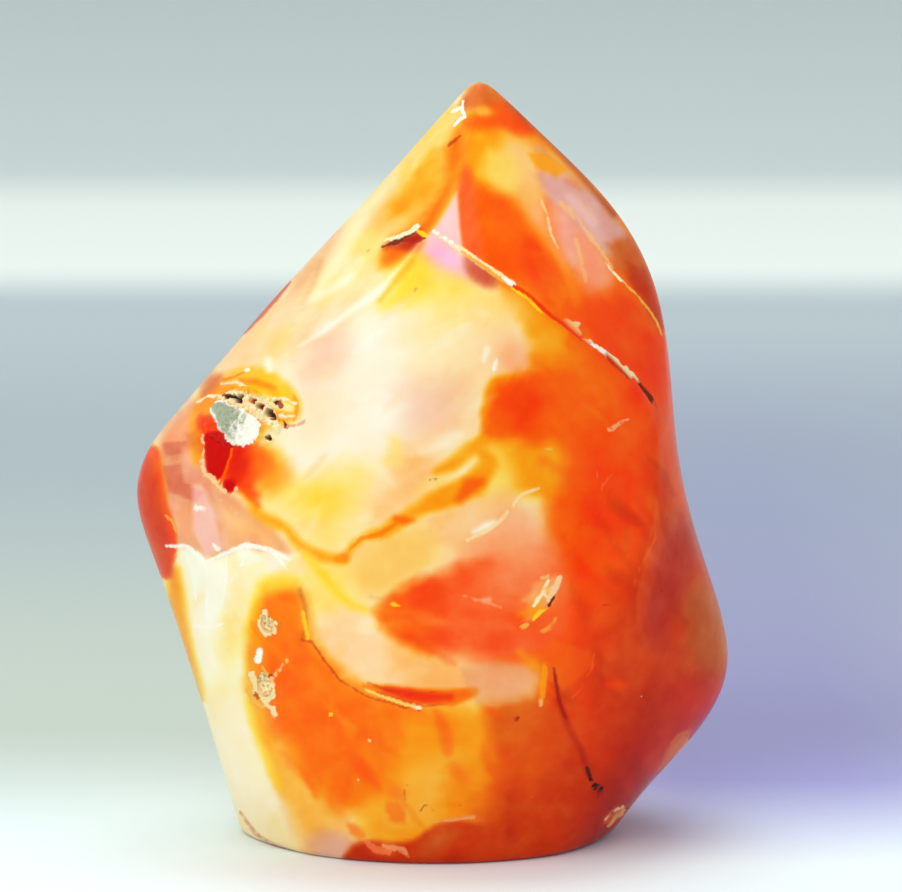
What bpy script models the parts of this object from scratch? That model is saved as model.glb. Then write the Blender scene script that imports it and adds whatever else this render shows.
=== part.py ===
"""A polished carnelian flame: one stone with a flat base, ground on curved faces that twist up to a point.

Run it with blender --background --python part.py, or from Blender's text editor.
All sizes below are in millimetres. X runs across the front, Y away from it and Z up.
The stone stands on the origin, which is the middle of its box at the base.
"""

import math
import random

import bmesh
import bpy
import numpy as np
from mathutils import Euler, Matrix, Vector, noise
from mathutils.bvhtree import BVHTree

MM = 0.001

# Driving sizes of the stone
HEIGHT = 104.0
TIP_ROUNDING = 1.5
APEX = (6.2, 1.0)
BASE_EDGE_WIDTH = 1.1
RING_COUNT = 46
RING_EASING = 0.35
SHARP_ANGLE = math.radians(30)

# Each rail runs down the stone from near the point to the base, and its stations are
# (height, x, y, crease), where crease 0 is a round turn and 1 is a hard ridge.
# All of them meet above the point, at APEX.
RAILS = {
    "left_edge": [
        (88.0, -9.0, 2.0, 0.5), (74.0, -21.9, 2.5, 0.5), (60.0, -33.9, 2.0, 0.4), (53.0, -39.3, 1.0, 0.2),
        (46.5, -40.7, 0.0, 0.1), (39.0, -38.7, 0.0, 0.1), (18.0, -32.0, 0.0, 0.2), (0.0, -26.6, 0.0, 0.0),
    ],
    "prow_ridge": [
        (96.0, 4.0, -6.2, 0.8), (86.0, -1.1, -12.6, 0.8), (74.0, -13.5, -15.5, 0.7),
        (60.0, -29.5, -11.5, 0.5), (47.0, -35.5, -11.5, 0.3), (35.0, -27.0, -17.0, 0.5),
        (20.0, -20.5, -19.0, 0.5), (0.0, -17.0, -15.2, 0.1),
    ],
    "front_left": [
        (96.0, 5.2, -6.7, 0.0), (86.0, 1.6, -13.9, 0.0), (74.0, -4.5, -19.8, 0.0),
        (60.0, -13.0, -22.0, 0.0), (47.0, -17.0, -23.5, 0.0), (35.0, -12.0, -25.3, 0.0),
        (20.0, -7.0, -25.0, 0.0), (0.0, -5.0, -19.8, 0.0),
    ],
    "front_middle": [
        (96.0, 6.4, -6.8, 0.0), (86.0, 4.4, -14.2, 0.0), (74.0, 6.0, -20.8, 0.0), (60.0, 7.0, -24.5, 0.0),
        (47.0, 6.0, -26.4, 0.0), (35.0, 7.5, -27.2, 0.0), (20.0, 9.0, -25.6, 0.0), (0.0, 5.5, -19.8, 0.0),
    ],
    "shoulder_ridge": [
        (96.0, 7.8, -6.4, 0.5), (86.0, 8.0, -13.6, 0.5), (74.0, 16.5, -18.6, 0.5),
        (62.0, 28.5, -14.0, 0.4), (50.0, 30.0, -15.0, 0.1), (35.0, 29.0, -19.5, 0.1),
        (20.0, 28.0, -18.5, 0.1), (0.0, 17.6, -14.6, 0.0),
    ],
    "right_edge": [
        (96.3, 15.5, 1.0, 0.3), (88.0, 23.6, 0.5, 0.3), (78.0, 29.6, -1.0, 0.2), (66.0, 32.2, -2.0, 0.1),
        (52.0, 33.7, -2.0, 0.0), (40.0, 36.7, -1.5, 0.0), (30.0, 39.8, -1.0, 0.0), (23.5, 40.5, -1.0, 0.0),
        (15.0, 36.9, -0.5, 0.0), (7.0, 30.0, 0.0, 0.0), (0.0, 24.6, 0.0, 0.0),
    ],
    "back_right": [
        (96.0, 12.8, 6.0, 0.0), (86.0, 19.5, 9.0, 0.0), (74.0, 23.0, 11.5, 0.0), (60.0, 21.5, 14.5, 0.0),
        (47.0, 21.0, 18.0, 0.0), (35.0, 26.0, 19.5, 0.0), (20.0, 27.0, 18.0, 0.0), (0.0, 16.5, 13.0, 0.0),
    ],
    "spine_ridge": [
        (96.0, 8.3, 7.4, 0.7), (86.0, 10.0, 14.0, 0.7), (74.0, 8.0, 20.5, 0.7),
        (60.0, 1.0, 25.0, 0.6), (47.0, -7.0, 26.5, 0.5), (35.0, -11.0, 25.5, 0.4),
        (20.0, -11.0, 21.5, 0.2), (0.0, -6.0, 17.5, 0.0),
    ],
    "back_left": [
        (96.0, 1.3, 5.2, 0.0), (86.0, -3.5, 9.6, 0.0), (74.0, -10.5, 13.5, 0.0),
        (60.0, -19.5, 16.5, 0.0), (47.0, -27.0, 16.0, 0.0), (35.0, -26.5, 15.0, 0.0),
        (20.0, -22.5, 13.5, 0.0), (0.0, -17.5, 11.5, 0.0),
    ],
}
# How many columns of faces lie between each rail and the next one round
COLUMNS = (4, 6, 6, 6, 6, 7, 7, 7, 7)

# The natural pocket in the front, high on the left, and its lining of quartz
POCKET_AT = (-26.3, 60.4)
POCKET_RADII = (7.6, 4.3, 3.5)
POCKET_TILT = -12.0
POCKET_SEED = 3.0
# Clearance between the crust and the stone around it, and how much further in its points stop
CRUST_GAP = 0.35
POINT_INSET = 0.2
# The crust stays this far below the face that the pocket opens in
CRUST_DEPTH = 0.25
# The open bowl in the crust, and how far its middle lies in front of the stone's face
HOLLOW_RADII = (10.8, 6.7, 6.4)
HOLLOW_LIFT = 4.5
HOLLOW_ROUGHNESS = 0.2
CRYSTAL_COUNT = 40
CRYSTAL_SEED = 7
CRYSTAL_WIDTH = (1.1, 2.1)
CRYSTAL_HEIGHT = (1.3, 2.4)
CRYSTAL_LEAN = 0.5
# How much of a crystal's height above its middle is its straight-sided part
CRYSTAL_SHOULDER = 0.45
# The points cover this share of the pocket, from a floor this deep to a rim this much higher
CRYSTAL_SPREAD = 0.88
CRYSTAL_FLOOR = -2.6
CRYSTAL_RIM_RISE = 1.5

# Small bites out of the polish: name, place on the front (x, height),
# radii along, across and into the face, and tilt
BITES = [
    ("upper_pit", (-22.3, 33.2), (1.1, 1.4, 0.8), 12.0),
    ("lower_pit", (-22.9, 24.3), (1.5, 2.1, 0.9), -25.0),
]
BITE_ROUGHNESS = 0.25
# Chips broken from the rim: name, centre of the round bite (x, y, height) and its radius
RIM_CHIPS = [
    ("flank_chip", (37.6, -12.5, 8.6), 6.2),
    ("rim_chip", (27.6, -17.5, -1.0), 5.2),
    ("heel_chip", (16.4, -20.4, -4.9), 5.6),
]
CHIP_ROUGHNESS = 0.05
# How finely large hollows and small ones are faceted
LARGE_FACETS = 3
SMALL_FACETS = 2


def clear_scene():
    """Removes what the startup file holds."""
    for obj in list(bpy.data.objects):
        bpy.data.objects.remove(obj)


def mineral(name, colour, roughness, metallic=0.0):
    """A plain Principled material for one kind of mineral."""
    material = bpy.data.materials.new(name)
    material.use_nodes = True
    shader = material.node_tree.nodes["Principled BSDF"]
    shader.inputs["Base Color"].default_value = (*colour, 1.0)
    shader.inputs["Roughness"].default_value = roughness
    shader.inputs["Metallic"].default_value = metallic
    return material


def curve_through(heights, values):
    """A smooth function of height that passes through every value (a natural cubic spline)."""
    heights = np.array(heights, float)
    values = np.array(values, float)
    steps = np.diff(heights)
    slopes = np.diff(values) / steps
    count = len(heights)
    system = np.eye(count)
    right = np.zeros(count)
    for i in range(1, count - 1):
        system[i, i - 1 : i + 2] = steps[i - 1], 2 * (steps[i - 1] + steps[i]), steps[i]
        right[i] = 6 * (slopes[i] - slopes[i - 1])
    bends = np.linalg.solve(system, right)

    def at(height):
        i = int(np.clip(np.searchsorted(heights, height) - 1, 0, count - 2))
        a = (heights[i + 1] - height) / steps[i]
        b = 1 - a
        sag = (a**3 - a) * bends[i] + (b**3 - b) * bends[i + 1]
        return float(a * values[i] + b * values[i + 1] + sag * steps[i] ** 2 / 6)

    return at


class Rail:
    """One line down the stone, read at any height."""

    def __init__(self, stations):
        apex = (HEIGHT + TIP_ROUNDING, *APEX, stations[0][3])
        heights, across, depth, crease = zip(*sorted([apex, *stations]))
        self.across = curve_through(heights, across)
        self.depth = curve_through(heights, depth)
        self.heights = heights
        self.creases = crease

    def point(self, height):
        return Vector((self.across(height), self.depth(height)))

    def crease(self, height):
        return float(np.interp(height, self.heights, self.creases))


def section(rails, height):
    """The closed outline of the stone at one height, bulging between rails and turning at each crease."""
    points = [rail.point(height) for rail in rails]
    creases = [rail.crease(height) for rail in rails]
    count = len(points)
    leaving, arriving = [], []
    for i, point in enumerate(points):
        before = point - points[i - 1]
        after = points[(i + 1) % count] - point
        span = before.length + after.length
        even = (before.normalized() * after.length + after.normalized() * before.length) / span
        arriving.append(even.lerp(before.normalized(), creases[i]))
        leaving.append(even.lerp(after.normalized(), creases[i]))
    outline = []
    for i, start in enumerate(points):
        end = points[(i + 1) % count]
        reach = (end - start).length
        for step in range(COLUMNS[i]):
            t = step / COLUMNS[i]
            outline.append(
                start * (2 * t**3 - 3 * t**2 + 1)
                + leaving[i] * reach * (t**3 - 2 * t**2 + t)
                + end * (3 * t**2 - 2 * t**3)
                + arriving[(i + 1) % count] * reach * (t**3 - t**2)
            )
    return outline


def tip_shrink(height):
    """How far a section draws in near the tip, so that the point is slightly rounded."""
    fall = TIP_ROUNDING / (HEIGHT + TIP_ROUNDING - height)
    return math.sqrt(max(0.0, 1 - fall * fall))


def ring_levels():
    """The height of each ring and how far it is drawn in, from the rounded base edge up."""
    turns = (math.pi / 2, math.pi / 4, 0.0)
    levels = [(BASE_EDGE_WIDTH * (1 - math.sin(a)), BASE_EDGE_WIDTH * (1 - math.cos(a))) for a in turns]
    for ring in range(1, RING_COUNT):
        rise = ring / RING_COUNT
        levels.append((HEIGHT * rise * (1 + RING_EASING * (1 - rise)), 0.0))
    return levels


def drawn_in(outline, inset):
    """The outline moved inwards by this much all round."""
    moved = []
    for before, point, after in zip(outline[-1:] + outline, outline, outline[1:] + outline[:1]):
        along = (after - before).normalized()
        moved.append(point + Vector((-along.y, along.x)) * inset)
    return moved


def make_stone_body():
    """The stone's outside, before its pocket and chips, as a mesh in metres."""
    rails = [Rail(stations) for stations in RAILS.values()]
    axis = Vector(APEX)
    shape = bmesh.new()
    rings = []
    for height, inset in ring_levels():
        shrink = tip_shrink(height)
        outline = [axis + (point - axis) * shrink for point in drawn_in(section(rails, height), inset)]
        rings.append([shape.verts.new((p.x * MM, p.y * MM, height * MM)) for p in outline])
    tip = shape.verts.new((axis.x * MM, axis.y * MM, HEIGHT * MM))
    around = len(rings[0])
    for low, high in zip(rings, rings[1:]):
        for i in range(around):
            j = (i + 1) % around
            shape.faces.new((low[i], low[j], high[j], high[i]))
    for i in range(around):
        shape.faces.new((rings[-1][i], rings[-1][(i + 1) % around], tip))
    shape.faces.new(list(reversed(rings[0])))
    mesh = bpy.data.meshes.new("stone")
    shape.to_mesh(mesh)
    shape.free()
    return mesh


def stand_on_origin(mesh):
    """Centres the mesh's box over the origin with its base at height 0, and returns the move."""
    corners = np.array([v.co for v in mesh.vertices])
    low, high = corners.min(0), corners.max(0)
    move = Vector((-(low[0] + high[0]) / 2, -(low[1] + high[1]) / 2, -low[2]))
    mesh.transform(Matrix.Translation(move))
    return move


class FrontFace:
    """The front of the stone, looked at square on, so that a pocket can be put where it is seen."""

    def __init__(self, mesh, move):
        corners = [v.co.copy() for v in mesh.vertices]
        self.tree = BVHTree.FromPolygons(corners, [list(p.vertices) for p in mesh.polygons])
        self.move = move

    def frame(self, across, height, tilt):
        """A matrix on the surface: X along the bite, Y across it and Z straight out of the face."""
        start = Vector((across * MM, -1.0, height * MM)) + Vector((self.move.x, 0, self.move.z))
        place, normal, _, _ = self.tree.ray_cast(start, Vector((0, 1, 0)))
        level = Vector((0, 0, 1)).cross(normal).normalized()
        upward = normal.cross(level)
        turned = Matrix.Rotation(math.radians(tilt), 3, "Z")
        axes = Matrix((level, upward, normal)).transposed() @ turned
        return Matrix.Translation(place) @ axes.to_4x4()


def lump(name, radii, subdivisions=LARGE_FACETS, roughness=0.12, seed=0.0, shrink=0.0):
    """A lumpy ellipsoid at the origin, with these radii in millimetres, drawn in by shrink."""
    shape = bmesh.new()
    bmesh.ops.create_icosphere(shape, subdivisions=subdivisions, radius=1.0)
    for vert in shape.verts:
        swell = 1 + roughness * noise.noise(vert.co * 1.7 + Vector((seed, seed, seed)))
        vert.co = Vector([c * swell * max(r - shrink, 0.05) * MM for c, r in zip(vert.co, radii)])
    mesh = bpy.data.meshes.new(name)
    shape.to_mesh(mesh)
    shape.free()
    obj = bpy.data.objects.new(name, mesh)
    bpy.context.scene.collection.objects.link(obj)
    return obj


def as_helper(obj):
    """Keeps a cutter out of the render and out of the part."""
    obj.hide_render = True
    obj.display_type = "WIRE"


def combine(obj, other, operation, use_self=False):
    """Adds one Boolean to obj and keeps its result."""
    modifier = obj.modifiers.new(other.name, "BOOLEAN")
    modifier.operation = operation
    modifier.object = other
    modifier.use_self = use_self
    graph = bpy.context.evaluated_depsgraph_get()
    made = bpy.data.meshes.new_from_object(obj.evaluated_get(graph))
    obj.modifiers.clear()
    obj.data = made
    as_helper(other)


def crystal(width, height, place, lean):
    """One quartz point, a six-sided stub with a six-sided tip, as corners and faces in millimetres."""
    turn = Euler(lean).to_matrix()
    corners_at = [math.tau * k / 6 for k in range(6)]
    rim = [Vector((math.cos(a), math.sin(a), 0)) * width / 2 for a in corners_at]
    shoulder = height * CRYSTAL_SHOULDER
    corners = [p - Vector((0, 0, height)) for p in rim] + [p + Vector((0, 0, shoulder)) for p in rim]
    corners.append(Vector((0, 0, height)))
    faces = [tuple(range(5, -1, -1))]
    faces += [(k, (k + 1) % 6, (k + 1) % 6 + 6, k + 6) for k in range(6)]
    faces += [(k + 6, (k + 1) % 6 + 6, 12) for k in range(6)]
    return [turn @ c + place for c in corners], faces


def make_crystals(name):
    """The points and plates that line the pocket, overlapping one another, as one object."""
    draw = random.Random(CRYSTAL_SEED)
    corners, faces = [], []

    def add(more_corners, more_faces):
        first = len(corners)
        corners.extend(more_corners)
        faces.extend(tuple(i + first for i in face) for face in more_faces)

    for k in range(CRYSTAL_COUNT):
        reach = math.sqrt((k + 0.5) / CRYSTAL_COUNT)
        angle = k * math.pi * (3 - math.sqrt(5))
        place = Vector((
            reach * POCKET_RADII[0] * CRYSTAL_SPREAD * math.cos(angle),
            reach * POCKET_RADII[1] * CRYSTAL_SPREAD * math.sin(angle),
            CRYSTAL_FLOOR + CRYSTAL_RIM_RISE * reach**2,
        ))
        tips = [draw.uniform(-CRYSTAL_LEAN, CRYSTAL_LEAN) for _ in range(2)]
        lean = (*tips, draw.uniform(0, math.tau))
        add(*crystal(draw.uniform(*CRYSTAL_WIDTH), draw.uniform(*CRYSTAL_HEIGHT), place, lean))
    mesh = bpy.data.meshes.new(name)
    mesh.from_pydata([c * MM for c in corners], [], faces)
    obj = bpy.data.objects.new(name, mesh)
    bpy.context.scene.collection.objects.link(obj)
    return obj


def drop_splinters(obj):
    """Keeps only the largest connected body of the mesh."""
    shape = bmesh.new()
    shape.from_mesh(obj.data)
    left = set(shape.verts)
    bodies = []
    while left:
        body, edge = set(), [left.pop()]
        while edge:
            vert = edge.pop()
            body.add(vert)
            near = {e.other_vert(vert) for e in vert.link_edges} & left
            left -= near
            edge.extend(near)
        bodies.append(body)
    keep = max(bodies, key=len)
    bmesh.ops.delete(shape, geom=[v for v in shape.verts if v not in keep], context="VERTS")
    shape.to_mesh(obj.data)
    shape.free()


def inner_skin(body, depth):
    """A copy of the stone's outside with every face set back by this depth, as an object."""
    mesh = body.copy()
    for vert, normal in zip(mesh.vertices, [v.normal.copy() for v in body.vertices]):
        vert.co -= normal * depth * MM
    obj = bpy.data.objects.new("inner_skin", mesh)
    bpy.context.scene.collection.objects.link(obj)
    return obj


def make_crust(frame, body):
    """The pocket's quartz lining: a bowl-shaped bed with points on it, clear of the stone all round."""
    crust = lump("quartz_crust", POCKET_RADII, seed=POCKET_SEED, shrink=CRUST_GAP)
    hollow = lump("crust_hollow", HOLLOW_RADII, SMALL_FACETS, HOLLOW_ROUGHNESS, seed=HOLLOW_RADII[0])
    hollow.location.z = HOLLOW_LIFT * MM
    bpy.context.view_layer.update()
    combine(crust, hollow, "DIFFERENCE")
    points = make_crystals("crust_points")
    trim = lump("crust_trim", POCKET_RADII, seed=POCKET_SEED, shrink=CRUST_GAP + POINT_INSET)
    combine(points, trim, "INTERSECT", use_self=True)
    combine(crust, points, "UNION", use_self=True)
    crust.data.transform(frame)
    combine(crust, inner_skin(body, CRUST_DEPTH), "INTERSECT")
    drop_splinters(crust)
    return crust


def cut_bites(stone, front):
    """Takes the pocket, the small pits and the rim chips out of the stone."""
    pocket_frame = front.frame(*POCKET_AT, POCKET_TILT)
    pocket = lump("pocket", POCKET_RADII, seed=POCKET_SEED)
    pocket.data.transform(pocket_frame)
    combine(stone, pocket, "DIFFERENCE")
    for name, place, radii, tilt in BITES:
        bite = lump(name, radii, SMALL_FACETS, BITE_ROUGHNESS, seed=radii[0])
        bite.data.transform(front.frame(*place, tilt))
        combine(stone, bite, "DIFFERENCE")
    for name, centre, radius in RIM_CHIPS:
        chip = lump(name, (radius,) * 3, roughness=CHIP_ROUGHNESS, seed=radius)
        chip.data.transform(Matrix.Translation(Vector(centre) * MM + front.move))
        combine(stone, chip, "DIFFERENCE")
    return pocket_frame


def main():
    clear_scene()
    mesh = make_stone_body()
    move = stand_on_origin(mesh)
    stone = bpy.data.objects.new("flame_stone", mesh)
    bpy.context.scene.collection.objects.link(stone)
    pocket_frame = cut_bites(stone, FrontFace(mesh, move))
    crust = make_crust(pocket_frame, mesh)
    stone.data.materials.append(mineral("carnelian", (0.86, 0.22, 0.03), 0.1))
    crust.data.materials.append(mineral("rough_quartz", (0.72, 0.70, 0.60), 0.45))
    for obj in (stone, crust):
        obj.data.shade_smooth()
        obj.data.set_sharp_from_angle(angle=SHARP_ANGLE)


main()
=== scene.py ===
"""The looks of a polished carnelian flame with a small crystal pocket, on a plain studio sweep."""

import logging
import math
import random
from dataclasses import dataclass
from enum import Enum

import bmesh
import bpy
import numpy as np
from mathutils import Matrix, Vector, noise
from mathutils.bvhtree import BVHTree


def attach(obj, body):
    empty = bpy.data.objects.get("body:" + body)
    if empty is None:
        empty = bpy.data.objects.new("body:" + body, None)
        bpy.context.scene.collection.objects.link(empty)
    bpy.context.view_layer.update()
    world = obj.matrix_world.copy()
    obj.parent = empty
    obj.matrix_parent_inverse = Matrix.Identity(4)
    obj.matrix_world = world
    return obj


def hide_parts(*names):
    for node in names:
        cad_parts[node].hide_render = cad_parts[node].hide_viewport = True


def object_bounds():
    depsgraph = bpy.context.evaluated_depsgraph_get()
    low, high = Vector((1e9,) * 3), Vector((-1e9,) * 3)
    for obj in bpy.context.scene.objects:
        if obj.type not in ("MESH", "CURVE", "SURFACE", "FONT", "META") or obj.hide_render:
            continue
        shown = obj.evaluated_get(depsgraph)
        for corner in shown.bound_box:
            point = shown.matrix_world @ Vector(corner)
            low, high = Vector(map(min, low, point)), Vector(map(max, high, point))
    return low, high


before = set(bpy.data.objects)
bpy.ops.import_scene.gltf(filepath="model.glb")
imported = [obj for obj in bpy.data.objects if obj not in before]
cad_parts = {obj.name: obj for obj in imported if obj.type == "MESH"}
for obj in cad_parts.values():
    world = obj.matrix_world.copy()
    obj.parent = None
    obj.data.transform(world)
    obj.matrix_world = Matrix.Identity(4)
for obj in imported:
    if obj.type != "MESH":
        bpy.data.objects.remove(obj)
cad_low, cad_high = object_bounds()

LOG = logging.getLogger("carnelian_flame")
MM = 0.001
BODY = "root"


class Tone(Enum):
    """The stone's colours, as they look under plain light (display red, green and blue)."""

    WHITE = (252, 245, 228)
    MILK = (253, 235, 206)
    IVORY = (252, 237, 188)
    CREAM = (254, 224, 160)
    BEIGE = (240, 214, 158)
    STRAW = (255, 216, 104)
    LEMON = (255, 206, 34)
    HONEY = (252, 182, 70)
    AMBER = (255, 152, 12)
    APRICOT = (255, 184, 104)
    PEACH = (255, 206, 148)
    SHELL = (255, 166, 110)
    SALMON = (255, 128, 74)
    CORAL = (255, 96, 36)
    ORANGE = (255, 112, 0)
    TANGERINE = (255, 94, 0)
    EMBER = (255, 66, 0)
    SCARLET = (246, 46, 0)
    BLOOD = (206, 10, 0)
    BRICK = (214, 58, 8)
    RUST = (192, 44, 10)
    GARNET = (174, 26, 8)
    WINE = (190, 46, 36)
    ROSE = (210, 92, 66)
    BLUSH = (238, 146, 118)
    PINK = (250, 196, 190)
    ORCHID = (248, 178, 206)
    LILAC = (226, 164, 150)
    BUFF = (236, 160, 112)
    TERRACOTTA = (216, 98, 38)
    SIENNA = (176, 76, 34)
    CLAY = (208, 126, 78)
    UMBER = (110, 30, 12)
    SOOT = (40, 18, 12)
    LICHEN = (170, 180, 150)


def linear(tone: Tone) -> np.ndarray:
    """The tone as scene-linear red, green and blue.

    Args:
        tone: The display colour.

    Returns:
        Three linear values from 0 to 1.
    """
    shown = np.array(tone.value, float) / 255
    return np.where(shown <= 0.04045, shown / 12.92, ((shown + 0.055) / 1.055) ** 2.4)


@dataclass(frozen=True)
class FrontView:
    """The view that the markings are drawn on, 902 steps wide and 892 high, and its camera."""

    elevation: float = math.radians(10.0)
    distance: float = 0.8
    look_x: float = 0.00248
    look_z: float = 0.05405
    steps_per_metre: float = 7302.0
    width: int = 902
    height: int = 892
    sensor: float = 36.0
    clip: tuple[float, float] = (0.05, 20.0)

    def ahead(self) -> np.ndarray:
        """The direction the camera looks in."""
        return np.array((0.0, math.cos(self.elevation), -math.sin(self.elevation)))

    def upward(self) -> np.ndarray:
        """The direction that is up in the view."""
        return np.array((0.0, math.sin(self.elevation), math.cos(self.elevation)))

    def eye(self) -> np.ndarray:
        """The camera's place."""
        return np.array((self.look_x, 0.0, self.look_z)) - self.ahead() * self.distance

    def place(self, points: np.ndarray) -> np.ndarray:
        """Where points of the stone lie on the view.

        Args:
            points: An array of places in metres, one row each.

        Returns:
            An array of (across, down) in steps from the view's top left.
        """
        ray = points - self.eye()
        size = self.steps_per_metre * self.distance / (ray @ self.ahead())
        down = self.height / 2 - (ray @ self.upward()) * size
        return np.stack((self.width / 2 + ray[:, 0] * size, down), 1)

    def facing(self, points: np.ndarray, normals: np.ndarray) -> np.ndarray:
        """How squarely each surface faces the camera, 1 for square on and below 0 for turned away."""
        ray = self.eye() - points
        return np.einsum("ij,ij->i", ray / np.linalg.norm(ray, axis=1)[:, None], normals)

    def make_camera(self) -> bpy.types.Object:
        """Adds the camera and makes it the scene's own.

        Returns:
            The camera.
        """
        data = bpy.data.cameras.new("front_camera")
        data.sensor_width = self.sensor
        data.lens = self.steps_per_metre * self.distance * self.sensor / self.width
        data.clip_start, data.clip_end = self.clip
        camera = bpy.data.objects.new("front_camera", data)
        camera.location = self.eye()
        camera.rotation_euler = Vector(self.ahead()).to_track_quat("-Z", "Y").to_euler()
        bpy.context.scene.collection.objects.link(camera)
        bpy.context.scene.camera = camera
        return camera


Outline = tuple[tuple[float, float], ...]
Path = tuple[tuple[float, float, float], ...]


def density(tone: Tone, darkest: float = 0.0015) -> np.ndarray:
    """How strongly the tone soaks up red, green and blue light (natural logarithms, all 0 or above)."""
    return -np.log(np.maximum(linear(tone), darkest))


def blend(below: np.ndarray, above: np.ndarray, share: np.ndarray) -> np.ndarray:
    """Rows of colour, each moved by its own share towards the colour above."""
    return below + (above - below) * share[:, None]


def ease(low: float, high: float, value: np.ndarray) -> np.ndarray:
    """A smooth rise from 0 at low to 1 at high."""
    t = np.clip((value - low) / (high - low), 0.0, 1.0)
    return t * t * (3 - 2 * t)


def rounded(outline: Outline, rounds: int = 2) -> np.ndarray:
    """A closed outline with its corners cut round.

    Args:
        outline: The corners, in order.
        rounds: How many times each corner is cut.

    Returns:
        An array of the new corners.
    """
    points = np.array(outline, float)
    for _ in range(rounds):
        after = np.roll(points, -1, axis=0)
        points = np.stack((points * 0.75 + after * 0.25, points * 0.25 + after * 0.75), 1).reshape(-1, 2)
    return points


def depth_in_outline(places: np.ndarray, corners: np.ndarray) -> np.ndarray:
    """How far each place lies inside a closed outline, below 0 outside it.

    Args:
        places: The places, as rows of (across, down).
        corners: The outline's corners in order.

    Returns:
        Each place's depth.
    """
    nearest = np.full(len(places), 1e9)
    inside = np.zeros(len(places), bool)
    for start, end in zip(corners, np.roll(corners, -1, axis=0)):
        run = end - start
        ray = places - start
        along = np.clip(ray @ run / max(run @ run, 1e-9), 0.0, 1.0)
        nearest = np.minimum(nearest, np.hypot(*(ray - along[:, None] * run).T))
        crosses = (start[1] > places[:, 1]) != (end[1] > places[:, 1])
        rise = run[1] if abs(run[1]) > 1e-9 else 1e-9
        inside ^= crosses & (places[:, 0] < start[0] + (places[:, 1] - start[1]) * run[0] / rise)
    return np.where(inside, nearest, -nearest)


def depth_in_stroke(places: np.ndarray, path: Path) -> np.ndarray:
    """How far each place lies inside a line that thickens and thins along its path, below 0 outside it.

    Args:
        places: The places, as rows of (across, down).
        path: The line's points.

    Returns:
        Each place's depth.
    """
    deepest = np.full(len(places), -1e9)
    for (ax, ay, aw), (bx, by, bw) in zip(path, path[1:]):
        start, run = np.array((ax, ay)), np.array((bx - ax, by - ay))
        ray = places - start
        along = np.clip(ray @ run / max(run @ run, 1e-9), 0.0, 1.0)
        gap = np.hypot(*(ray - along[:, None] * run).T)
        deepest = np.maximum(deepest, (aw + (bw - aw) * along) / 2 - gap)
    return deepest


@dataclass(frozen=True)
class Patch:
    """A patch of one tone inside a closed outline drawn on the front view.

    edge is half the width of its fading border and wander how far that border strays, both in steps.
    relief is how far it stands out, in millimetres, and dull is how much polish it lacks.
    """

    tone: Tone
    outline: Outline
    edge: float = 6.0
    wander: float = 3.0
    cover: float = 1.0
    sharp: bool = False
    skin: bool = False
    relief: float = 0.0
    dull: float = 0.0

    def reach(self) -> tuple[float, float, float, float]:
        """The outline's box on the view, as least and greatest across and down."""
        across, down = zip(*self.outline)
        return min(across), max(across), min(down), max(down)

    def depth(self, places: np.ndarray) -> np.ndarray:
        """How far each place lies inside the patch."""
        return depth_in_outline(places, rounded(self.outline, 0 if self.sharp else 2))


@dataclass(frozen=True)
class Vein:
    """A line of one tone drawn on the front view, as (across, down, width) points in steps.

    edge, wander, relief and dull are as for a patch, and skin marks what is only at the surface.
    """

    tone: Tone
    path: Path
    edge: float = 1.5
    wander: float = 1.0
    cover: float = 1.0
    skin: bool = True
    relief: float = 0.0
    dull: float = 0.0

    def reach(self) -> tuple[float, float, float, float]:
        """The path's box on the view, as least and greatest across and down."""
        across, down, width = (np.array(v) for v in zip(*self.path))
        half = width.max() / 2
        return across.min() - half, across.max() + half, down.min() - half, down.max() + half

    def depth(self, places: np.ndarray) -> np.ndarray:
        """How far each place lies inside the line."""
        return depth_in_stroke(places, self.path)


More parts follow.
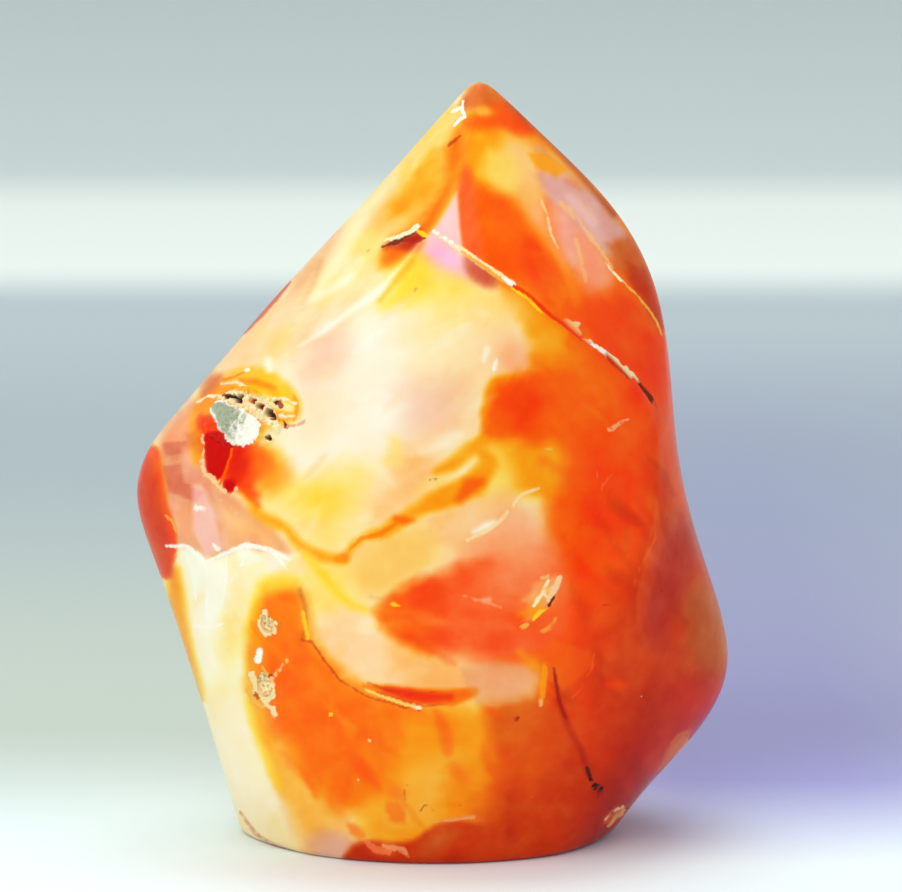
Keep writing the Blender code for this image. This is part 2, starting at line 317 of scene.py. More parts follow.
# Broad colours, from the back of the picture forwards
GROUNDS = (
    # The front face, milky in the middle
    Patch(Tone.CREAM, ((420, 240), (340, 322), (250, 372), (180, 400), (130, 480), (165, 600), (230, 880),
        (330, 880), (300, 640), (330, 600), (470, 560), (545, 470), (545, 300)), 10, 6),
    Patch(Tone.MILK, ((412, 262), (384, 292), (340, 326), (292, 352), (262, 380), (285, 440), (262, 470),
        (300, 488), (350, 470), (420, 430), (470, 420), (488, 370), (480, 320), (450, 290)), 18, 8),
    Patch(Tone.PEACH, ((470, 300), (540, 310), (538, 372), (500, 380), (486, 402), (484, 436), (448, 452),
        (424, 500), (380, 520), (392, 460), (430, 400), (452, 340)), 22, 8, 0.75),
    Patch(Tone.MILK, ((330, 350), (420, 340), (440, 392), (400, 450), (340, 480), (300, 440), (302, 380)),
        26, 6),
    Patch(Tone.PEACH, ((290, 360), (330, 370), (340, 420), (300, 440), (284, 410)), 16, 6, 0.45),
    Patch(Tone.CREAM, ((400, 310), (470, 320), (480, 380), (440, 400), (404, 360)), 16, 6, 0.7),
    # The upper left face
    Patch(Tone.CREAM, ((480, 80), (430, 110), (300, 250), (185, 385), (190, 420), (250, 372), (342, 322),
        (388, 284), (428, 236), (470, 120)), 3, 1),
    Patch(Tone.PEACH, ((300, 268), (240, 330), (205, 372), (215, 392), (256, 366), (330, 326), (372, 292),
        (330, 300), (300, 300)), 10, 5, 0.8),
    Patch(Tone.HONEY, ((470, 100), (440, 120), (398, 166), (366, 208), (370, 240), (424, 226), (452, 190),
        (466, 130)), 8, 5, 0.95),
    Patch(Tone.STRAW, ((450, 108), (432, 124), (400, 160), (384, 190), (402, 190), (430, 156), (452, 130)),
        5, 4, 0.7),
    Patch(Tone.AMBER, ((424, 156), (440, 150), (442, 180), (420, 206), (392, 222), (384, 210), (404, 190)),
        7, 5, 0.7),
    Patch(Tone.PEACH, ((376, 196), (396, 172), (404, 180), (388, 206), (366, 236), (356, 236)), 5, 4, 0.7),
    Patch(Tone.STRAW, ((352, 232), (384, 226), (390, 246), (364, 262), (344, 260)), 7, 5, 0.6),
    Patch(Tone.BUFF, ((320, 240), (344, 222), (336, 250), (306, 290), (284, 300)), 6, 4, 0.5),
    Patch(Tone.BLUSH, ((300, 340), (330, 320), (352, 330), (340, 370), (306, 390)), 14, 8, 0.3),
    Patch(Tone.BLUSH, ((392, 400), (430, 370), (470, 380), (452, 430), (400, 440)), 14, 8, 0.3),
    Patch(Tone.BLUSH, ((440, 520), (500, 500), (536, 512), (520, 540), (450, 548)), 12, 8, 0.35),
    Patch(Tone.BLUSH, ((250, 770), (290, 800), (300, 840), (262, 846), (244, 810)), 10, 6, 0.3),
    Patch(Tone.AMBER, ((384, 246), (424, 244), (420, 262), (392, 270), (374, 268)), 6, 4, 0.5),
    # The orange and red mass down the middle and right
    Patch(Tone.ORANGE, ((470, 92), (500, 84), (560, 140), (650, 240), (690, 360), (760, 640), (700, 800),
        (600, 880), (480, 880), (470, 700), (560, 560), (540, 470), (500, 440), (520, 372), (560, 330),
        (500, 282), (474, 262), (460, 200)), 8, 4),
    Patch(Tone.EMBER, ((566, 300), (640, 290), (700, 380), (760, 640), (700, 800), (600, 880), (500, 880),
        (540, 760), (560, 640), (556, 520), (570, 440), (560, 380)), 22, 8),
    Patch(Tone.BRICK, ((640, 440), (700, 420), (770, 660), (700, 800), (600, 890), (500, 890), (560, 740),
        (590, 650), (640, 560)), 26, 8),
    # The deep red at the lower right: the stone's red deepened with painted shade under the overhang
    Patch(Tone.GARNET, ((620, 720), (700, 690), (740, 700), (690, 790), (600, 880), (566, 880), (590, 780)),
        22, 8),
)

# The middle of the picture, region by region
CLOUDS = (
    # Point and the face right of it
    Patch(Tone.AMBER, ((470, 112), (500, 112), (530, 150), (500, 190), (470, 196), (462, 150)), 9, 4),
    Patch(Tone.HONEY, ((508, 124), (560, 150), (584, 186), (560, 196), (536, 214), (516, 200), (500, 170)),
        9, 5, 0.9),
    Patch(Tone.APRICOT, ((510, 146), (540, 170), (546, 222), (532, 226), (516, 206), (504, 176)), 9, 4,
        0.8),
    Patch(Tone.PEACH, ((500, 128), (540, 150), (548, 184), (520, 178), (500, 152)), 9, 5, 0.6),
    Patch(Tone.STRAW, ((488, 146), (516, 156), (520, 186), (500, 196), (480, 178)), 9, 4, 0.8),
    Patch(Tone.TANGERINE, ((466, 186), (484, 184), (508, 206), (540, 236), (570, 280), (574, 320),
        (540, 312), (490, 276), (470, 250)), 8, 5),
    Patch(Tone.SCARLET, ((526, 240), (544, 244), (562, 274), (560, 292), (540, 282), (524, 262)), 9, 4,
        0.75),
    Patch(Tone.AMBER, ((534, 226), (550, 236), (574, 270), (584, 306), (572, 304), (560, 276), (544, 250)),
        5, 3, 0.6),
    Patch(Tone.SHELL, ((528, 206), (546, 204), (556, 236), (572, 268), (566, 272), (546, 244), (532, 226)),
        6, 3, 0.8),
    Patch(Tone.SALMON, ((544, 196), (566, 204), (590, 236), (616, 262), (616, 292), (590, 304), (572, 276),
        (556, 244)), 6, 3, 0.85),
    Patch(Tone.BLUSH, ((550, 200), (570, 210), (592, 240), (606, 266), (596, 286), (580, 262), (562, 236)),
        5, 3, 0.7),
    # The lilac film: milky stone with a painted reflection of lavender light on it
    Patch(Tone.LILAC, ((536, 168), (560, 172), (590, 188), (616, 216), (640, 258), (626, 262), (602, 248),
        (574, 222), (546, 200)), 5, 3),
    Patch(Tone.LILAC, ((540, 176), (556, 172), (584, 184), (612, 210), (636, 248), (622, 256), (600, 246),
        (576, 222), (552, 204)), 3, 3),
    Patch(Tone.BUFF, ((536, 142), (560, 158), (592, 186), (600, 198), (570, 180), (546, 170), (534, 158)),
        4, 3, 0.8),
    Patch(Tone.PINK, ((560, 190), (576, 196), (596, 222), (588, 226), (570, 206)), 4, 3, 0.5),
    Patch(Tone.ROSE, ((604, 246), (624, 250), (632, 268), (616, 272), (608, 260)), 5, 3, 0.7),
    Patch(Tone.TERRACOTTA, ((620, 232), (640, 246), (652, 280), (640, 274), (622, 262)), 6, 3, 0.9),
    Patch(Tone.BRICK, ((622, 264), (640, 268), (664, 320), (662, 330), (640, 300)), 5, 2),
    Patch(Tone.EMBER, ((590, 290), (640, 300), (672, 360), (676, 400), (640, 380), (600, 340)), 12, 5, 0.8),
    Patch(Tone.BLUSH, ((560, 214), (574, 222), (578, 256), (568, 266), (558, 240)), 5, 3, 0.6),
    # Tip
    Patch(Tone.TERRACOTTA, ((478, 80), (496, 88), (540, 132), (530, 132), (500, 104), (474, 108),
        (460, 112), (462, 96)), 3, 2, 0.85),
    Patch(Tone.EMBER, ((490, 100), (510, 100), (538, 130), (526, 136), (504, 128), (476, 130), (462, 126),
        (476, 114), (494, 114)), 5, 3, 0.7),
    Patch(Tone.HONEY, ((474, 108), (488, 106), (494, 116), (478, 116)), 3, 2, 0.8),
    # The ridge's orange edge, and the dark cleft beside it
    Patch(Tone.ORANGE, ((462, 122), (462, 160), (452, 196), (432, 228), (408, 256), (384, 268), (382, 250),
        (400, 232), (428, 214), (444, 180), (446, 146)), 6, 3),
    Patch(Tone.RUST, ((394, 240), (416, 228), (426, 238), (414, 252), (396, 248), (382, 248)), 4, 2),
    # The pale triangle and the coral beside it
    Patch(Tone.CORAL, ((464, 160), (474, 178), (478, 220), (486, 262), (470, 260), (458, 240), (456, 200)),
        4, 1),
    Patch(Tone.PINK, ((457, 192), (459, 216), (462, 250), (440, 244), (424, 240), (440, 222)), 2, 1, 1.0,
        True),
    # A painted lavender reflection where the ridges meet
    Patch(Tone.ORCHID, ((426, 240), (446, 242), (466, 258), (486, 278), (470, 284), (444, 276), (420, 258)),
        7, 2),
    Patch(Tone.ROSE, ((466, 262), (478, 264), (498, 280), (496, 288), (478, 284), (466, 274)), 5, 2, 0.9),
    Patch(Tone.SCARLET, ((470, 266), (480, 270), (492, 282), (484, 282), (472, 274)), 4, 2, 0.4),
    # Below the healed crack
    Patch(Tone.LEMON, ((400, 262), (424, 258), (440, 276), (470, 286), (466, 296), (430, 300), (400, 304),
        (378, 308), (392, 286)), 10, 4, 0.75),
    Patch(Tone.STRAW, ((440, 270), (500, 284), (530, 296), (520, 316), (490, 320), (450, 330), (420, 320)),
        16, 6, 0.6),
    Patch(Tone.AMBER, ((514, 288), (540, 306), (580, 340), (590, 356), (566, 372), (534, 376), (530, 336),
        (518, 304)), 8, 4),
    Patch(Tone.HONEY, ((530, 316), (560, 334), (570, 352), (548, 362), (536, 344)), 8, 4, 0.5),
    Patch(Tone.HONEY, ((500, 290), (524, 298), (540, 320), (530, 322), (506, 308)), 7, 3, 0.7),
    Patch(Tone.SHELL, ((502, 342), (532, 344), (534, 376), (508, 380), (500, 360)), 9, 3, 0.8),
    Patch(Tone.ORANGE, ((540, 366), (574, 348), (600, 352), (620, 392), (600, 440), (560, 460), (520, 440)),
        12, 5, 0.8),
    # The ember mass, with its scalloped left edge
    Patch(Tone.AMBER, ((500, 374), (486, 384), (484, 402), (480, 412), (484, 430), (474, 442), (486, 452),
        (520, 450), (540, 400), (540, 374)), 3, 2),
    Patch(Tone.TANGERINE, ((504, 380), (560, 366), (610, 400), (640, 440), (640, 560), (600, 580),
        (566, 540), (560, 470), (520, 440), (484, 440), (488, 420), (488, 400), (494, 392)), 6, 3),
    Patch(Tone.EMBER, ((508, 384), (544, 380), (556, 402), (540, 424), (504, 428), (494, 412)), 9, 4, 0.9),
    Patch(Tone.SCARLET, ((514, 390), (538, 388), (544, 402), (520, 414), (506, 404)), 10, 3, 0.5),
    Patch(Tone.EMBER, ((580, 440), (640, 400), (652, 460), (640, 540), (604, 560), (574, 520), (568, 470)),
        18, 6, 0.9),
    Patch(Tone.SCARLET, ((588, 492), (606, 484), (612, 520), (596, 536), (586, 520)), 14, 4, 0.45),
    # Long buried planes in the orange, lighter on one side
    Patch(Tone.TANGERINE, ((560, 366), (606, 352), (652, 420), (648, 470), (610, 470), (580, 420)), 2, 3,
        0.35),
    Patch(Tone.EMBER, ((604, 470), (650, 470), (656, 520), (640, 560), (612, 560), (600, 520)), 3, 3, 0.4),
    # The amber hollow under it
    Patch(Tone.AMBER, ((488, 446), (520, 444), (560, 440), (566, 470), (556, 500), (536, 494), (516, 492),
        (496, 476), (480, 456)), 8, 4),
    Patch(Tone.STRAW, ((476, 448), (500, 446), (514, 462), (516, 484), (496, 506), (478, 510), (488, 480)),
        9, 4, 0.85),
    Patch(Tone.APRICOT, ((440, 506), (490, 496), (520, 490), (504, 520), (470, 545), (430, 540)), 9, 4,
        0.8),
    Patch(Tone.PEACH, ((460, 510), (496, 500), (506, 516), (480, 536), (440, 546), (430, 532)), 9, 4, 0.8),
    # The straw field left of it
    Patch(Tone.STRAW, ((262, 470), (300, 486), (352, 462), (376, 470), (350, 520), (330, 552), (300, 520),
        (262, 500)), 14, 6, 0.9),
    Patch(Tone.LEMON, ((286, 484), (330, 488), (344, 500), (322, 516), (290, 500)), 12, 4, 0.5),
    Patch(Tone.APRICOT, ((404, 440), (436, 456), (440, 484), (404, 508), (370, 520), (384, 480)), 12, 5,
        0.8),
    Patch(Tone.HONEY, ((364, 540), (430, 520), (440, 560), (400, 584), (360, 600), (344, 570)), 12, 5, 0.7),
    Patch(Tone.STRAW, ((300, 560), (346, 556), (362, 600), (340, 620), (312, 612), (304, 590)), 10, 5, 0.9),
    Patch(Tone.PEACH, ((312, 620), (350, 606), (376, 620), (400, 660), (420, 690), (372, 690), (330, 670)),
        10, 4),
    Patch(Tone.APRICOT, ((380, 640), (420, 654), (480, 668), (530, 660), (536, 700), (476, 708),
        (400, 690)), 10, 4),
    Patch(Tone.SHELL, ((470, 664), (530, 656), (540, 690), (500, 700), (476, 690)), 10, 4, 0.8),
    # The coral lens
    Patch(Tone.SHELL, ((500, 512), (532, 516), (552, 550), (500, 566), (440, 572), (470, 546)), 10, 4),
    Patch(Tone.CORAL, ((384, 606), (404, 590), (436, 574), (480, 560), (530, 548), (560, 540), (576, 600),
        (566, 640), (530, 660), (490, 664), (440, 652), (404, 636)), 7, 4),
    Patch(Tone.TANGERINE, ((374, 612), (388, 600), (408, 584), (432, 576), (444, 600), (436, 640),
        (432, 660), (404, 644), (384, 630)), 6, 4, 0.9),
    Patch(Tone.SALMON, ((492, 556), (548, 540), (560, 580), (534, 606), (500, 604), (480, 584)), 14, 4,
        0.85),
    Patch(Tone.SHELL, ((500, 536), (540, 530), (552, 556), (530, 572), (498, 566)), 12, 4, 0.75),
    Patch(Tone.SHELL, ((392, 620), (420, 606), (444, 622), (420, 634)), 6, 4, 0.45),
    Patch(Tone.TANGERINE, ((384, 604), (404, 598), (424, 622), (430, 640), (400, 632), (382, 620)), 6, 3,
        0.8),
    Patch(Tone.SCARLET, ((410, 584), (440, 578), (452, 600), (440, 616), (418, 606)), 9, 3, 0.55),
    # Lower middle
    Patch(Tone.ORANGE, ((264, 590), (300, 588), (306, 620), (316, 650), (360, 690), (440, 712), (480, 720),
        (470, 750), (400, 800), (330, 815), (290, 770), (262, 720), (248, 660), (250, 610)), 9, 5),
    Patch(Tone.TANGERINE, ((276, 640), (296, 640), (306, 670), (340, 710), (380, 730), (390, 770),
        (340, 780), (300, 740), (276, 700)), 14, 6, 0.4),
    Patch(Tone.AMBER, ((398, 716), (480, 706), (500, 740), (490, 800), (440, 850), (370, 850), (356, 810),
        (392, 780)), 12, 6, 0.95),
    Patch(Tone.HONEY, ((398, 770), (440, 740), (470, 760), (440, 820), (400, 840), (366, 830)), 14, 5,
        0.75),
    Patch(Tone.ORANGE, ((446, 764), (476, 776), (478, 816), (440, 820)), 9, 4, 0.35),
    Patch(Tone.BRICK, ((500, 730), (556, 690), (580, 740), (600, 800), (560, 860), (480, 872), (470, 830),
        (500, 790)), 16, 6, 0.9),
    Patch(Tone.TERRACOTTA, ((490, 706), (540, 700), (530, 740), (500, 750)), 12, 5, 0.7),
    # Lower left
    Patch(Tone.IVORY, ((170, 548), (196, 552), (206, 562), (246, 544), (290, 556), (262, 580), (250, 620),
        (244, 680), (262, 760), (300, 860), (230, 860), (190, 700), (160, 590)), 3, 1),
    Patch(Tone.AMBER, ((250, 620), (262, 592), (268, 640), (260, 700), (292, 780), (310, 820), (290, 810),
        (258, 740), (244, 690)), 6, 3, 0.8),
    Patch(Tone.HONEY, ((268, 736), (296, 744), (304, 800), (330, 850), (304, 856), (286, 800)), 8, 4, 0.9),
    Patch(Tone.HONEY, ((300, 786), (340, 800), (354, 836), (324, 846), (296, 820)), 9, 4, 0.7),
    Patch(Tone.LILAC, ((300, 836), (346, 828), (358, 862), (316, 862)), 6, 4, 0.75),
    Patch(Tone.LEMON, ((246, 690), (256, 724), (274, 768), (284, 790), (276, 790), (258, 750), (246, 720)),
        3, 2, 0.6),
    Patch(Tone.LEMON, ((256, 578), (296, 574), (300, 588), (262, 592), (252, 640), (246, 640), (250, 600)),
        5, 3, 0.6),
    Patch(Tone.BEIGE, ((238, 790), (284, 800), (302, 860), (240, 850)), 12, 3, 0.7),
    # Bottom, glassy red
    Patch(Tone.BRICK, ((340, 862), (362, 838), (412, 846), (434, 822), (474, 820), (520, 840), (520, 880),
        (340, 880)), 3, 1),
    # A painted pale sheen on the glassy red
    Patch(Tone.CLAY, ((432, 832), (462, 828), (448, 846), (424, 856), (410, 856)), 6, 2, 0.5),
    Patch(Tone.RUST, ((350, 846), (364, 842), (380, 858), (470, 856), (470, 872), (340, 872)), 5, 2, 0.6),
    # Right side: the wine and rose patches are the stone's red with a painted rose sheen down the right face
    Patch(Tone.WINE, ((652, 530), (684, 520), (700, 560), (676, 640), (656, 660), (644, 620)), 14, 5, 0.75),
    Patch(Tone.TANGERINE, ((650, 380), (680, 420), (696, 500), (700, 540), (676, 520), (656, 460)), 10, 4,
        0.7),
    Patch(Tone.TERRACOTTA, ((694, 562), (724, 600), (740, 660), (716, 690), (694, 660), (684, 610)), 8, 4,
        0.9),
    Patch(Tone.BUFF, ((702, 584), (728, 616), (734, 650), (720, 656), (704, 620)), 6, 3, 0.5),
    # The rose column: a painted sheen on the right face
    Patch(Tone.ROSE, ((668, 500), (690, 520), (694, 556), (672, 600), (650, 630), (646, 600), (664, 560)),
        5, 3, 0.6),
    Patch(Tone.RUST, ((600, 640), (660, 650), (660, 700), (610, 700)), 16, 6, 0.4),
    Patch(Tone.SCARLET, ((640, 770), (670, 690), (728, 670), (716, 712), (680, 740), (664, 768)), 12, 5,
        0.6),
    # Left corner
    Patch(Tone.BUFF, ((196, 396), (206, 420), (200, 470), (232, 494), (262, 520), (300, 560), (248, 543),
        (206, 562), (188, 546), (164, 546), (152, 470), (166, 424)), 4, 2),
    Patch(Tone.SHELL, ((168, 424), (196, 404), (202, 440), (176, 448), (160, 446)), 6, 3, 0.7),
    Patch(Tone.ROSE, ((162, 443), (186, 441), (188, 452), (166, 456)), 1.2, 1.4, 0.5, True),
    Patch(Tone.ROSE, ((162, 466), (181, 464), (184, 482), (204, 492), (196, 502), (168, 492)), 1.2, 1.4,
        0.6, True),
    Patch(Tone.BLUSH, ((180, 444), (198, 450), (202, 484), (186, 482)), 1.4, 1.4, 0.6, True),
    Patch(Tone.PINK, ((192, 486), (202, 484), (214, 512), (222, 548), (206, 558), (192, 530)), 2, 2, 0.7,
        True),
    Patch(Tone.SHELL, ((170, 500), (190, 506), (196, 540), (178, 542)), 3, 2, 0.5),
    Patch(Tone.APRICOT, ((216, 496), (262, 524), (290, 556), (250, 540), (226, 548)), 8, 4, 0.8),
    Patch(Tone.EMBER, ((157, 440), (161, 470), (168, 505), (178, 540), (172, 570), (164, 584), (120, 520),
        (130, 460)), 2, 1),
    Patch(Tone.BRICK, ((140, 470), (152, 500), (164, 544), (168, 570), (156, 580), (120, 520)), 5, 2, 0.7),
    Patch(Tone.ORANGE, ((154, 444), (162, 470), (168, 520), (160, 530), (148, 500), (146, 460)), 6, 3, 0.6),
    Patch(Tone.AMBER, ((166, 582), (178, 560), (184, 600), (190, 640), (206, 700), (196, 700), (170, 620)),
        4, 2, 0.9),
    # Around the pocket
    Patch(Tone.AMBER, ((192, 408), (206, 392), (226, 376), (262, 366), (296, 392), (300, 420), (262, 424),
        (258, 446), (224, 432), (204, 440), (196, 470), (190, 440)), 5, 3),
    Patch(Tone.LEMON, ((232, 372), (262, 370), (290, 386), (296, 410), (280, 396), (250, 392), (232, 384)),
        5, 3, 0.8),
    Patch(Tone.EMBER, ((200, 414), (226, 430), (262, 448), (276, 468), (250, 482), (262, 500), (240, 490),
        (210, 470), (202, 440)), 5, 3),
    Patch(Tone.ORANGE, ((240, 444), (264, 452), (290, 474), (270, 492), (250, 480)), 12, 4, 0.7),
    Patch(Tone.EMBER, ((196, 414), (212, 418), (224, 430), (236, 440), (204, 440)), 3, 2),
    Patch(Tone.BLOOD, ((203, 434), (216, 430), (235, 440), (228, 460), (219, 482), (207, 472), (205, 456)),
        1.5, 2),
    Patch(Tone.BLOOD, ((222, 479), (234, 478), (237, 488), (230, 494), (223, 489)), 1.5, 2),
    Patch(Tone.TERRACOTTA, ((204, 376), (226, 372), (214, 390), (198, 402)), 4, 2, 0.7),
)

